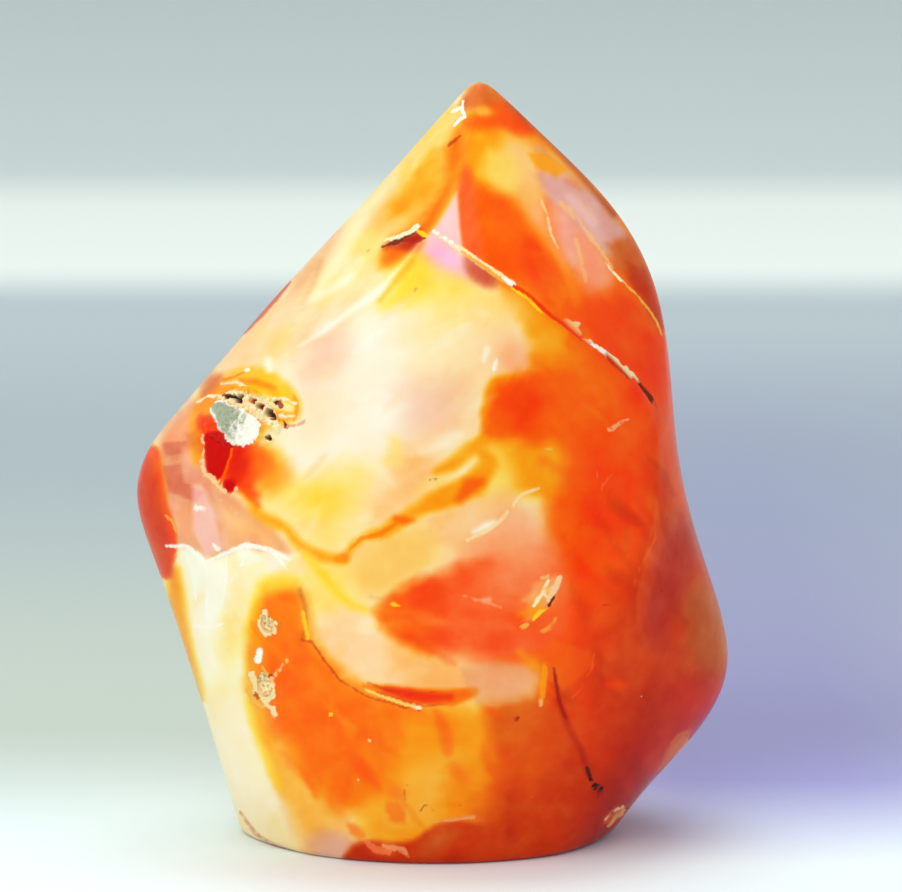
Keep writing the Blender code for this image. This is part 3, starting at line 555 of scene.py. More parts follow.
# Fine marks at the surface
MARKS = (
    # Lilac film, milky stone with a painted reflection of lavender light on it, and pink shards in the upper
    # right face
    Patch(Tone.SALMON, ((544, 196), (566, 208), (590, 240), (612, 262), (612, 286), (590, 292), (570, 262),
        (554, 232)), 3, 2, 0.7, True),
    Patch(Tone.LILAC, ((542, 176), (558, 178), (586, 192), (612, 214), (634, 246), (626, 258), (604, 256),
        (588, 238), (570, 216), (552, 200)), 3, 2, 0.9, True),
    Patch(Tone.PINK, ((562, 192), (580, 200), (600, 222), (592, 228), (572, 210)), 3, 2, 0.45, True),
    Patch(Tone.BLUSH, ((560, 214), (574, 222), (582, 256), (572, 270), (562, 244)), 1.6, 1.4, 0.6, True),
    Patch(Tone.TERRACOTTA, ((606, 244), (630, 238), (648, 268), (652, 288), (632, 280), (614, 262)), 4, 3,
        0.9, True),
    Patch(Tone.RUST, ((626, 262), (646, 268), (662, 308), (664, 330), (646, 306), (630, 282)), 3, 3, 0.5,
        True),
    Patch(Tone.STRAW, ((486, 150), (506, 152), (522, 172), (514, 190), (494, 188), (480, 172)), 7, 4, 0.6,
        True),
    # Curved buried shards in the amber at the top
    Patch(Tone.AMBER, ((526, 152), (548, 154), (568, 170), (556, 176), (536, 168)), 1.6, 2, 0.7, True),
    Patch(Tone.AMBER, ((528, 250), (546, 252), (566, 290), (560, 316), (546, 290), (536, 268)), 1.6, 1.6,
        0.35, True),
    # The pale line that runs down the left ridge, a painted highlight along the ridge, and an amber line
    # beside it
    Vein(Tone.WHITE, ((424, 238, 2.0), (404, 262, 3.0), (384, 286, 5.0), (366, 300, 10.0), (346, 314, 6.0),
        (322, 332, 4.0), (300, 346, 2.0)), 3, 1, 0.85),
    Vein(Tone.AMBER, ((412, 262, 4.0), (396, 280, 5.0), (380, 300, 2.0)), 3, 2, 0.5),
    # Cream streaks on the upper left face, a painted soft sheen, and a clay line among them
    Vein(Tone.IVORY, ((398, 170, 6.0), (366, 214, 10.0), (338, 258, 14.0), (318, 290, 8.0)), 5, 3, 0.7),
    Vein(Tone.WHITE, ((352, 276, 3.0), (330, 290, 8.0), (310, 300, 4.0)), 4, 2, 0.6),
    Vein(Tone.CREAM, ((440, 128, 4.0), (422, 152, 5.0), (408, 178, 3.0)), 3, 2, 0.6),
    Vein(Tone.CLAY, ((322, 262, 3.0), (312, 286, 3.0), (300, 306, 2.0)), 3, 2, 0.35),
    # Healed crack across the face; the white touches along it are painted glints
    Vein(Tone.CREAM, ((434, 232, 3.6), (460, 249, 5.4), (484, 266, 6.0), (512, 284, 6.0)), 1.6, 0.8, 1.0,
        True, 0.10, 0.1),
    Vein(Tone.HONEY, ((462, 252, 2.0), (486, 269, 3.0), (506, 283, 2.0)), 1.2, 1, 0.8),
    Vein(Tone.WHITE, ((434, 231, 2.5), (456, 245, 3.0)), 1.2, 0.6),
    Vein(Tone.WHITE, ((503, 278, 3.0), (513, 284, 5.0)), 1.0, 0.6),
    Vein(Tone.LEMON, ((513, 288, 3.0), (526, 297, 4.0), (542, 312, 2.0)), 1.4, 1.6, 0.9),
    Vein(Tone.SCARLET, ((514, 286, 3.0), (530, 296, 4.0), (548, 313, 4.0), (566, 326, 3.0),
        (590, 345, 3.0)), 1.6, 1, 0.9, True, -0.10, 0.1),
    Vein(Tone.APRICOT, ((563, 319, 2.0), (572, 326, 4.0), (580, 333, 3.0)), 1.0, 2.0, 1.0, True, 0.1, 0.4),
    Vein(Tone.PEACH, ((576, 322, 3.0), (580, 324, 3.0)), 1.0, 1.0, 0.9),
    Vein(Tone.CREAM, ((589, 341, 2.6), (600, 350, 5.4), (612, 359, 4.8), (624, 369, 4.8), (637, 380, 3.4)),
        1.0, 2.6, 1.0, True, 0.12, 0.5),
    # Painted glints on the crack's feathered end
    Vein(Tone.WHITE, ((592, 344, 1.5), (604, 352, 3.0), (614, 362, 2.0)), 0.8, 1.6),
    Vein(Tone.CREAM, ((618, 366, 2.0), (630, 372, 2.4), (638, 381, 1.5)), 0.8, 1.4),
    Vein(Tone.RUST, ((606, 356, 2.0), (620, 371, 2.5), (634, 382, 2.0)), 1.0, 2.0, 0.8),
    Vein(Tone.UMBER, ((638, 382, 3.0), (646, 391, 4.0), (652, 399, 5.0), (655, 404, 3.0)), 1.2, 0.8, 1.0,
        True, -0.2, 0.3),
    Vein(Tone.ROSE, ((655, 405, 2.0), (662, 418, 2.0)), 2, 1, 0.6),
    # Dark cleft with white flakes beside the triangle
    Vein(Tone.UMBER, ((382, 246, 2.0), (396, 241, 5.0), (410, 233, 5.0), (418, 229, 3.0)), 1.4, 1.6, 0.9,
        True, -0.15, 0.3),
    Vein(Tone.IVORY, ((384, 241, 2.5), (394, 238, 3.0), (404, 234, 3.0), (414, 229, 3.5), (418, 226, 2.0)),
        1.0, 1.8, 1.0, True, 0.05, 0.4),
    Vein(Tone.GARNET, ((404, 240, 4.0), (414, 240, 7.0), (424, 237, 4.0)), 2, 1.5, 0.9),
    Vein(Tone.LEMON, ((418, 231, 3.0), (426, 236, 4.0)), 1.2, 1, 0.9),
    # White glints near the point
    Vein(Tone.WHITE, ((463, 101, 2.2), (462, 110, 3.0), (465, 117, 2.4)), 0.9, 1.0),
    Vein(Tone.WHITE, ((451, 112, 2.0), (460, 108, 3.0)), 0.9, 1.2),
    Vein(Tone.WHITE, ((454, 126, 1.5), (462, 118, 3.0)), 0.9, 1.0),
    Vein(Tone.RUST, ((448, 146, 2.5), (455, 140, 3.0), (460, 136, 1.5)), 1.4, 1, 0.8),
    # Thin crack and shards, upper right
    Vein(Tone.PEACH, ((541, 200, 1.5), (547, 214, 2.5), (552, 236, 2.0), (558, 250, 1.5)), 1.2, 1.2, 0.8),
    Vein(Tone.APRICOT, ((560, 202, 6.0), (570, 210, 7.0), (574, 218, 3.0)), 2, 1.6, 0.7),
    Vein(Tone.APRICOT, ((577, 216, 2.0), (584, 228, 4.0), (598, 246, 3.0), (612, 268, 2.0)), 1.6, 1.4, 0.7),
    Vein(Tone.APRICOT, ((576, 240, 3.0), (580, 256, 4.0), (586, 280, 3.0)), 2, 1.6, 0.6),
    Vein(Tone.IVORY, ((604, 262, 1.2), (614, 273, 2.0), (625, 284, 2.6)), 0.9, 0.8, 1.0, True, -0.06, 0.2),
    Vein(Tone.HONEY, ((625, 284, 1.6), (636, 294, 1.4), (648, 308, 2.0), (657, 322, 1.6), (662, 336, 1.2)),
        1.0, 0.8, 0.9),
    # Amber vein
    Vein(Tone.AMBER, ((345, 558, 6.0), (352, 547, 6.0), (364, 538, 6.0), (384, 532, 9.0), (402, 520, 12.0),
        (424, 506, 14.0), (450, 496, 20.0), (474, 484, 22.0), (490, 462, 16.0), (480, 450, 10.0)), 4, 3,
        0.95, False),
    Vein(Tone.AMBER, ((436, 472, 4.0), (452, 464, 12.0), (470, 450, 14.0), (484, 442, 10.0)), 4, 2.5, 0.9,
        False),
    Vein(Tone.TANGERINE, ((460, 498, 8.0), (470, 486, 16.0), (480, 482, 10.0)), 4, 2.5, 0.9, False),
    Vein(Tone.TANGERINE, ((396, 518, 5.0), (404, 520, 9.0), (412, 520, 4.0)), 3, 2, 0.85, False),
    Vein(Tone.ORANGE, ((338, 559, 6.0), (344, 558, 9.0)), 2.5, 1.5, 0.8, False),
    Vein(Tone.ORANGE, ((350, 549, 2.5), (362, 538, 3.0), (380, 534, 4.0), (396, 524, 4.0)), 1.8, 1.4, 0.6),
    # Yellow veins left of it
    Vein(Tone.AMBER, ((246, 494, 5.0), (256, 512, 8.0), (270, 520, 10.0), (286, 528, 7.0), (300, 546, 7.0),
        (320, 556, 9.0), (342, 560, 7.0)), 4, 3, 0.8, False),
    Vein(Tone.LEMON, ((306, 556, 4.0), (322, 574, 7.0), (338, 594, 9.0), (354, 606, 6.0), (366, 610, 3.0)),
        4, 3, 0.75, False),
    Vein(Tone.EMBER, ((240, 484, 4.0), (250, 496, 5.0), (258, 506, 3.0)), 3, 2, 0.7),
    Vein(Tone.PINK, ((220, 500, 1.2), (236, 512, 1.4), (250, 530, 1.2)), 1.6, 1.6, 0.4),
    Vein(Tone.HONEY, ((164, 514, 1.2), (172, 521, 1.6), (176, 532, 1.2)), 1.2, 1, 0.7),
    # The white toothed edge
    Vein(Tone.WHITE, ((166, 546, 2.0), (186, 546, 4.0), (198, 556, 6.0), (206, 563, 3.0)), 1.6, 1.0, 0.9),
    Vein(Tone.WHITE, ((206, 562, 3.0), (226, 553, 3.0), (246, 545, 5.0), (268, 549, 4.0), (290, 560, 3.0)),
        1.8, 1, 0.9),
    # The white patches here: the stone's white with a painted soft highlight on the lower left face
    Patch(Tone.WHITE, ((180, 548), (198, 552), (207, 562), (204, 590), (196, 596)), 3, 2, 0.75, True),
    Patch(Tone.WHITE, ((208, 562), (222, 556), (232, 580), (216, 622), (206, 628), (204, 590)), 3, 2, 0.7,
        True),
    Patch(Tone.WHITE, ((234, 549), (248, 543), (262, 560), (242, 570)), 2.4, 2, 0.7, True),
    Patch(Tone.MILK, ((264, 549), (292, 556), (282, 568), (266, 572)), 2.4, 2, 0.8, True),
    Patch(Tone.WHITE, ((190, 600), (214, 604), (224, 660), (206, 690), (196, 650)), 12, 4, 0.6),
    Patch(Tone.STRAW, ((224, 612), (238, 620), (240, 660), (226, 668), (220, 640)), 9, 4, 0.6),
    Patch(Tone.CREAM, ((232, 566), (250, 560), (248, 600), (240, 640), (226, 600)), 8, 4, 0.6),
    Patch(Tone.CREAM, ((200, 680), (230, 690), (244, 740), (236, 760), (212, 730)), 10, 4, 0.5),
    Vein(Tone.WHITE, ((187, 548, 1.4), (192, 572, 2.4), (196, 600, 1.4)), 1.2, 1, 0.9),
    Vein(Tone.WHITE, ((206, 563, 2.0), (208, 590, 3.0), (206, 622, 1.6)), 1.4, 1, 0.9),
    Vein(Tone.WHITE, ((196, 626, 1.4), (210, 628, 2.0), (222, 624, 1.4)), 1.2, 1, 0.8),
    Vein(Tone.WHITE, ((248, 546, 1.4), (243, 562, 2.4), (232, 580, 1.4)), 1.2, 1, 0.9),
    Vein(Tone.WHITE, ((226, 554, 1.4), (226, 580, 2.4), (222, 604, 1.4)), 1.2, 1, 0.7),
    Vein(Tone.WHITE, ((268, 549, 1.4), (280, 560, 2.4), (286, 568, 1.4)), 1.2, 1, 0.8),
    Patch(Tone.MILK, ((210, 700), (244, 700), (256, 760), (272, 820), (240, 830), (220, 770)), 10, 4, 0.6),
    # Painted white glints near the left edge
    Vein(Tone.WHITE, ((196, 508, 7.0), (203, 510, 8.0)), 1.8, 2, 0.85),
    Vein(Tone.WHITE, ((213, 543, 4.0), (217, 549, 6.0)), 2, 2, 0.8),
    # Edge of the orange tongue
    Vein(Tone.SIENNA, ((300, 590, 1.5), (305, 606, 2.0), (306, 624, 1.6), (302, 640, 1.4)), 2.4, 1, 0.6),
    Vein(Tone.BRICK, ((302, 640, 1.4), (312, 642, 2.4), (324, 660, 2.0), (340, 680, 1.8), (366, 696, 1.6),
        (400, 706, 2.0), (420, 711, 1.5)), 1.6, 1, 0.75),
    Vein(Tone.LEMON, ((303, 612, 2.0), (305, 626, 4.0), (308, 638, 3.0)), 1.8, 1, 0.8),
    # Scarlet slash
    Vein(Tone.ORANGE, ((364, 686, 3.0), (392, 690, 8.0), (424, 697, 15.0), (452, 698, 16.0),
        (474, 692, 9.0)), 2, 1.4, 1.0, False),
    Vein(Tone.SCARLET, ((386, 690, 3.0), (404, 694, 7.0), (426, 698, 9.0), (450, 697, 5.0)), 3, 1.5, 0.95,
        False),
    Vein(Tone.BRICK, ((368, 683, 1.6), (388, 690, 2.4), (410, 694, 2.0), (436, 692, 1.4)), 1.6, 1, 0.6),
    Vein(Tone.BRICK, ((376, 692, 1.6), (398, 699, 2.4), (424, 706, 2.0), (446, 704, 1.4)), 1.6, 1, 0.6),
    Vein(Tone.STRAW, ((366, 690, 2.0), (384, 697, 2.4), (402, 703, 2.4), (418, 708, 2.4)), 1.4, 1, 0.8),
    Vein(Tone.IVORY, ((416, 707, 3.0), (420, 708, 3.5)), 1.0, 0.6, 0.9),
    # Pits low on the left
    Vein(Tone.CREAM, ((265, 612, 6.0), (262, 622, 7.0), (266, 634, 7.0), (275, 632, 6.0), (276, 622, 5.0)),
        1.4, 2.6, 1.0, True, 0.0, 0.8),
    Vein(Tone.WHITE, ((260, 650, 6.0), (258, 660, 8.0)), 1.4, 0.6, 1.0, True, 0.03),
    Vein(Tone.CREAM, ((252, 674, 5.0), (256, 684, 7.0), (262, 697, 7.0), (272, 697, 6.0), (273, 684, 5.0)),
        1.4, 3.0, 1.0, True, 0.0, 0.8),
    Vein(Tone.CREAM, ((264, 702, 4.0), (272, 708, 6.0), (276, 718, 4.0)), 1.2, 3.0, 1.0, True, 0.0, 0.6),
    Vein(Tone.HONEY, ((248, 690, 3.0), (254, 700, 4.0), (262, 708, 3.0)), 1.2, 3.0, 0.8, True, 0.0, 0.4),
    Vein(Tone.HONEY, ((262, 668, 4.0), (267, 675, 4.0)), 1.4, 2.0, 0.8, True, 0.0, 0.6),
    Vein(Tone.APRICOT, ((270, 680, 3.4), (280, 669, 3.4), (288, 659, 2.6)), 1.4, 0.8, 0.95),
    Vein(Tone.RUST, ((256, 694, 4.0), (258, 698, 3.0)), 1.2, 1, 0.8),
    Vein(Tone.UMBER, ((268, 677, 2.0), (273, 674, 1.6)), 1.0, 0.8, 0.8),
    Vein(Tone.PEACH, ((308, 584, 3.5), (309, 584, 3.5)), 1.0, 0.3, 0.9),
    Vein(Tone.LEMON, ((326, 716, 2.0), (331, 714, 4.0)), 1.0, 0.8, 0.9),
    # Feathers right of the lens
    Patch(Tone.APRICOT, ((534, 582), (556, 574), (562, 578), (552, 604), (530, 622), (522, 622),
        (528, 604)), 3, 3, 0.7, True),
    Vein(Tone.PEACH, ((560, 577, 5.0), (555, 588, 8.0), (548, 600, 5.0)), 1.4, 1.4, 0.95, True, 0.03, 0.3),
    Vein(Tone.IVORY, ((548, 580, 1.6), (542, 594, 2.2), (534, 606, 1.6)), 1.0, 1.2, 0.9),
    Vein(Tone.HONEY, ((551, 584, 2.0), (545, 594, 3.0)), 1.2, 1.0, 0.9),
    Vein(Tone.APRICOT, ((541, 578, 2.0), (548, 576, 3.0)), 1.2, 1.2, 0.8),
    Vein(Tone.APRICOT, ((524, 600, 6.0), (534, 596, 6.0), (538, 604, 4.0)), 3, 2.0, 0.7),
    Vein(Tone.AMBER, ((520, 614, 6.0), (532, 612, 8.0), (540, 606, 5.0)), 3, 2.0, 0.75),
    Vein(Tone.LEMON, ((533, 620, 3.0), (540, 612, 4.0), (547, 608, 2.0)), 1.2, 1.2, 1.0),
    Vein(Tone.HONEY, ((521, 628, 3.0), (527, 625, 4.0)), 1.4, 1.0, 0.9),
    Vein(Tone.UMBER, ((554, 597, 1.6), (549, 605, 3.0)), 1.0, 0.6, 0.95, True, -0.1, 0.2),
    Vein(Tone.HONEY, ((556, 616, 3.0), (552, 626, 4.0), (542, 632, 3.0)), 2, 1.6, 0.6),
    Vein(Tone.AMBER, ((546, 664, 5.0), (543, 684, 7.0), (541, 704, 4.0)), 2, 1, 0.85),
    Vein(Tone.AMBER, ((520, 652, 6.0), (532, 662, 9.0), (538, 668, 4.0)), 4, 2, 0.7),
    Vein(Tone.APRICOT, ((541, 700, 3.0), (542, 707, 3.0)), 1.0, 0.6, 0.9),
    # Edge line of the lens and its glints
    Vein(Tone.CREAM, ((540, 488, 2.0), (522, 494, 2.0), (512, 506, 2.0), (502, 520, 3.0), (488, 530, 3.0),
        (464, 542, 1.5)), 1.8, 1, 0.7),
    Vein(Tone.WHITE, ((474, 532, 4.0), (486, 526, 8.0), (494, 522, 4.0)), 2.6, 1, 0.9),
    Vein(Tone.SHELL, ((464, 596, 1.5), (486, 602, 2.0), (508, 610, 1.5)), 2, 1, 0.6),
    Vein(Tone.PINK, ((484, 600, 5.0), (489, 600, 5.0)), 2.4, 0.8, 0.8),
    Vein(Tone.LEMON, ((392, 604, 5.0), (398, 605, 5.0)), 1.8, 1.2, 0.8),
    Vein(Tone.CLAY, ((370, 597, 1.5), (384, 600, 2.0), (396, 596, 1.5)), 2.4, 0.8, 0.3),
    # Buried planes on the right
    Patch(Tone.SALMON, ((656, 500), (664, 540), (650, 600), (640, 640), (636, 600), (646, 550)), 1.6, 1.6,
        0.4, True),
    Patch(Tone.CORAL, ((600, 640), (640, 620), (656, 660), (640, 700), (606, 690)), 1.6, 2, 0.25, True),
    Patch(Tone.ORANGE, ((500, 720), (530, 706), (556, 720), (560, 760), (530, 790), (500, 780)), 9, 4, 0.35,
        True),
    Patch(Tone.EMBER, ((572, 690), (640, 700), (650, 740), (600, 770), (580, 745)), 6, 4, 0.35, True),
    Vein(Tone.CORAL, ((655, 520, 1.2), (655, 540, 1.6), (640, 568, 1.6), (632, 590, 1.2)), 1.2, 1, 0.6),
    Vein(Tone.CORAL, ((570, 700, 1.2), (580, 690, 1.6), (592, 668, 1.6), (594, 654, 1.2)), 1.2, 1, 0.5),
    # Cracks and specks, lower right
    Vein(Tone.GARNET, ((554, 668, 3.0), (557, 688, 3.6), (560, 704, 3.4), (566, 718, 2.6)), 1.4, 0.8, 0.9,
        True, -0.04),
    Patch(Tone.ORANGE, ((552, 640), (590, 652), (594, 664), (572, 684), (562, 690), (554, 668)), 1.5, 1,
        0.45, True),
    Patch(Tone.BUFF, ((460, 668), (500, 660), (540, 672), (534, 700), (480, 708), (468, 690)), 2, 2, 0.5,
        True),
    Vein(Tone.GARNET, ((559, 700, 4.5), (564, 716, 4.2), (571, 732, 4.0), (581, 750, 4.2), (588, 774, 5.0)),
        2.6, 0.8, 0.75),
    Vein(Tone.SOOT, ((587, 768, 3.0), (590, 776, 3.0)), 1.0, 0.8, 0.8, True, -0.1, 0.4),
    Vein(Tone.SOOT, ((590, 778, 3.0), (594, 784, 5.0), (598, 789, 10.0), (600, 794, 5.0)), 1.6, 1.0, 1.0,
        True, -0.05, 0.5),
    Vein(Tone.GARNET, ((598, 792, 5.0), (606, 803, 4.4), (614, 813, 4.0)), 2.0, 0.8, 0.85),
    Vein(Tone.UMBER, ((604, 803, 2.0), (612, 810, 3.0)), 1.4, 1.2, 0.7),
    Vein(Tone.SIENNA, ((508, 104, 3.0), (548, 140, 4.0), (586, 180, 5.0), (614, 214, 6.0)), 3, 1.5, 0.75,
        False),
    Patch(Tone.ROSE, ((462, 256), (474, 260), (498, 276), (492, 288), (474, 280)), 4, 2, 0.85),
    Patch(Tone.PINK, ((548, 206), (562, 204), (592, 240), (612, 276), (596, 292), (574, 270), (556, 240)),
        5, 3, 0.4),
    # The wine smear: the stone's red with the painted rose sheen down the right face
    Patch(Tone.WINE, ((690, 500), (702, 540), (684, 590), (654, 650), (636, 640), (646, 590), (664, 540)),
        9, 5, 0.45),
    # Garnet and rust at the lower right: the stone's red deepened with painted shade under the overhang
    Patch(Tone.GARNET, ((640, 690), (704, 690), (700, 736), (650, 776), (620, 744)), 16, 8, 0.3),
    Patch(Tone.BRICK, ((138, 470), (150, 450), (162, 500), (174, 560), (170, 584), (148, 530)), 4, 3, 0.75),
    Patch(Tone.RUST, ((610, 690), (660, 690), (700, 720), (680, 752), (640, 770), (606, 740)), 16, 10,
        0.45),
    Patch(Tone.SIENNA, ((680, 590), (716, 592), (728, 640), (722, 690), (696, 700), (684, 650)), 10, 4,
        0.4),
    Patch(Tone.BLOOD, ((232, 444), (246, 446), (250, 462), (240, 480), (226, 484)), 6, 3, 0.6),
    Patch(Tone.AMBER, ((262, 446), (282, 452), (282, 478), (264, 486), (256, 466)), 8, 4, 0.5),
    Patch(Tone.SALMON, ((602, 824), (604, 816), (614, 808), (628, 806), (622, 818), (610, 828)), 2, 3, 0.7,
        True, False, 0.0, 0.7),
    Vein(Tone.PEACH, ((606, 820, 2.0), (612, 812, 2.4), (622, 807, 2.0)), 1.0, 2.6, 0.9, True, 0.0, 0.7),
    Vein(Tone.APRICOT, ((608, 826, 2.0), (616, 818, 2.4), (625, 810, 2.0)), 1.0, 2.6, 0.9, True, 0.0, 0.7),
    Vein(Tone.GARNET, ((514, 720, 4.0), (517, 719, 6.0)), 1.4, 0.8, 0.9),
    Vein(Tone.UMBER, ((404, 790, 1.6), (405, 800, 1.2)), 1.4, 0.8, 0.35),
    Vein(Tone.SIENNA, ((408, 785, 2.4), (416, 785, 2.4)), 1.2, 0.8, 0.7),
    Vein(Tone.SIENNA, ((411, 771, 2.0), (412, 774, 2.0)), 1.2, 0.8, 0.7),
    Vein(Tone.SIENNA, ((420, 812, 1.6), (426, 804, 1.8), (432, 803, 1.8), (433, 812, 1.4)), 0.9, 1.0, 0.8),
    Vein(Tone.SIENNA, ((452, 809, 2.4), (455, 808, 2.0), (462, 805, 1.4)), 1.0, 0.8, 0.7),
    Vein(Tone.SALMON, ((367, 842, 5.0), (376, 850, 8.0), (388, 852, 6.0)), 2, 1.4, 0.7),
    Vein(Tone.SHELL, ((384, 846, 3.0), (404, 850, 6.0), (408, 856, 3.0)), 1.6, 1.4, 0.7),
    Vein(Tone.SHELL, ((432, 822, 1.2), (452, 820, 2.0), (474, 817, 2.4)), 1.2, 0.8, 0.6),
    Vein(Tone.EMBER, ((608, 684, 6.0), (618, 684, 10.0), (626, 686, 4.0)), 3, 2, 0.7),
    Vein(Tone.TERRACOTTA, ((658, 772, 3.0), (672, 755, 16.0), (684, 738, 12.0), (690, 730, 4.0)), 2.4, 1.6,
        1.0, True, 0.0, 0.3),
    Vein(Tone.AMBER, ((668, 766, 1.5), (680, 752, 3.0), (688, 740, 2.0)), 1.4, 1.6, 0.8, True, 0.0, 0.3),
    Vein(Tone.TERRACOTTA, ((672, 744, 3.0), (680, 735, 5.0), (688, 733, 4.0)), 1.6, 1.6, 0.9, True, 0.0,
        0.3),
    # A painted glint
    Vein(Tone.PINK, ((640, 696, 2.0), (642, 698, 2.0)), 0.9, 0.3, 0.9),
    Vein(Tone.GARNET, ((661, 590, 3.0), (663, 591, 3.0)), 1.2, 0.6, 0.8),
    Vein(Tone.BLOOD, ((604, 605, 1.6), (612, 606, 2.0)), 1.4, 0.8, 0.6),
    Vein(Tone.SIENNA, ((682, 656, 1.6), (694, 660, 1.6)), 1.4, 0.8, 0.6),
    Vein(Tone.SALMON, ((596, 472, 1.6), (602, 490, 1.6), (606, 480, 1.6), (612, 474, 1.4)), 1.6, 1.6, 0.5),
    # A painted glint
    Vein(Tone.HONEY, ((546, 449, 2.4), (552, 449, 2.0)), 1.2, 0.6, 0.8),
    # Warm hairline at the left outline, and grey-brown painted shade along the foot's outline
    Vein(Tone.BRICK, ((243, 334, 3.0), (262, 314, 5.0), (280, 294, 4.0), (290, 282, 2.0)), 2, 0.8, 0.85),
    Vein(Tone.CLAY, ((240, 812, 2.0), (256, 834, 4.0), (274, 845, 3.0), (300, 855, 3.0), (340, 862, 2.0)),
        2, 1, 0.7),
    # Pinhole flecks
    Vein(Tone.PINK, ((476, 636, 2.0), (477, 637, 2.0)), 0.9, 0.3, 0.8),
    Vein(Tone.PEACH, ((357, 779, 2.0), (358, 780, 2.0)), 0.9, 0.3, 0.9),
    Vein(Tone.PEACH, ((369, 740, 2.0), (370, 741, 2.0)), 0.9, 0.3, 0.8),
    Vein(Tone.CORAL, ((530, 796, 2.4), (532, 798, 2.4)), 0.9, 0.3, 0.8),
    Vein(Tone.CREAM, ((610, 430, 2.0), (618, 424, 2.4), (628, 420, 1.6)), 1.2, 2.0, 0.4),
    Vein(Tone.UMBER, ((430, 480, 1.6), (436, 479, 1.6)), 1.2, 0.8, 0.5),
    Vein(Tone.SIENNA, ((313, 437, 2.0), (316, 439, 2.0)), 1.2, 0.8, 0.5),
    # Marks on the milk
    Vein(Tone.WHITE, ((484, 360, 5.0), (487, 350, 6.0)), 2.4, 1, 0.75),
    Vein(Tone.WHITE, ((494, 369, 4.0), (496, 361, 4.0)), 1.8, 0.8, 0.85),
    Vein(Tone.WHITE, ((376, 424, 10.0), (390, 416, 22.0), (398, 408, 12.0)), 9, 2, 0.6),
    Vein(Tone.MILK, ((426, 450, 8.0), (446, 444, 14.0), (460, 436, 8.0)), 6, 2, 0.75),
    Vein(Tone.WHITE, ((382, 470, 8.0), (388, 480, 12.0), (394, 484, 6.0)), 6, 2, 0.5),
    Vein(Tone.STRAW, ((394, 440, 6.0), (396, 460, 12.0), (386, 462, 6.0)), 6, 2, 0.7),
    Vein(Tone.CLAY, ((425, 410, 1.2), (427, 418, 1.4)), 1.2, 0.6, 0.6),
    Vein(Tone.CLAY, ((415, 290, 3.0), (417, 289, 3.0)), 1.6, 0.8, 0.6),
    Vein(Tone.CLAY, ((367, 251, 3.0), (368, 251, 3.0)), 1.6, 0.8, 0.6),
    Vein(Tone.WHITE, ((246, 370, 3.0), (248, 370, 3.5)), 1.0, 0.6, 0.9),
    Vein(Tone.WHITE, ((268, 360, 6.0), (269, 370, 7.0)), 2.4, 1.2, 0.85),
    # Around the pocket
    Vein(Tone.ORANGE, ((240, 380, 3.0), (256, 382, 6.0), (274, 388, 5.0)), 2.6, 1.6, 0.8),
    Vein(Tone.ORANGE, ((222, 380, 2.0), (236, 376, 2.0), (244, 372, 1.4)), 1.2, 1.2, 0.7),
    Vein(Tone.IVORY, ((222, 384, 2.0), (238, 382, 3.0), (246, 388, 3.0)), 1.4, 1.2, 0.7),
    Vein(Tone.IVORY, ((254, 396, 6.0), (272, 403, 14.0), (290, 408, 10.0)), 2.4, 1.6, 0.9, True, 0.0, 0.3),
    Vein(Tone.AMBER, ((294, 396, 3.0), (297, 408, 4.0), (294, 420, 3.0)), 1.8, 1.2, 0.8),
    Vein(Tone.GARNET, ((258, 405, 5.0), (263, 403, 4.0)), 1.2, 1.4, 0.9, True, -0.2, 0.4),
    Vein(Tone.UMBER, ((268, 400, 3.0), (272, 405, 7.0), (276, 402, 3.0)), 1.0, 1.4, 1.0, True, -0.3, 0.4),
    Vein(Tone.GARNET, ((279, 401, 3.0), (281, 406, 4.0)), 1.2, 1.2, 0.9, True, -0.2, 0.4),
    Vein(Tone.GARNET, ((276, 425, 5.0), (282, 424, 7.0), (287, 427, 4.0)), 1.4, 1.0, 1.0, True, -0.2, 0.3),
    Vein(Tone.UMBER, ((278, 425, 3.0), (283, 423, 4.0)), 1.0, 0.8, 0.9, True, -0.2, 0.3),
    Vein(Tone.CLAY, ((288, 426, 3.0), (298, 425, 2.4), (306, 421, 2.4)), 1.6, 1.4, 0.6),
    Vein(Tone.TANGERINE, ((233, 440, 1.6), (231, 456, 1.8), (226, 470, 1.8), (220, 484, 1.6)), 0.9, 0.6,
        1.0),
    Vein(Tone.PEACH, ((202, 436, 2.4), (204, 450, 2.2), (202, 462, 2.2), (205, 475, 2.2), (213, 478, 2.4),
        (217, 485, 1.6), (225, 491, 1.8), (231, 496, 1.6), (238, 487, 1.4)), 1.2, 2.6, 0.8),
    Vein(Tone.IVORY, ((198, 402, 1.6), (206, 397, 2.0), (218, 396, 2.0), (240, 399, 2.0), (262, 397, 2.0),
        (284, 399, 2.0), (296, 404, 1.6)), 1.2, 2.2, 0.9),
    Vein(Tone.IVORY, ((262, 414, 2.0), (278, 416, 4.0), (294, 416, 2.0)), 1.6, 2.2, 0.8),
    Vein(Tone.SIENNA, ((244, 398, 2.0), (252, 400, 3.0)), 1.2, 1.6, 0.8),
    Vein(Tone.BLUSH, ((204, 484, 5.0), (212, 492, 5.0), (214, 500, 3.0)), 2, 1.6, 0.6),
    Vein(Tone.BRICK, ((204, 426, 4.0), (208, 432, 4.0), (212, 436, 2.0)), 1.4, 1.2, 0.8),
    Vein(Tone.AMBER, ((262, 426, 4.0), (264, 436, 4.0), (256, 446, 4.0)), 2, 1.6, 0.7),
)


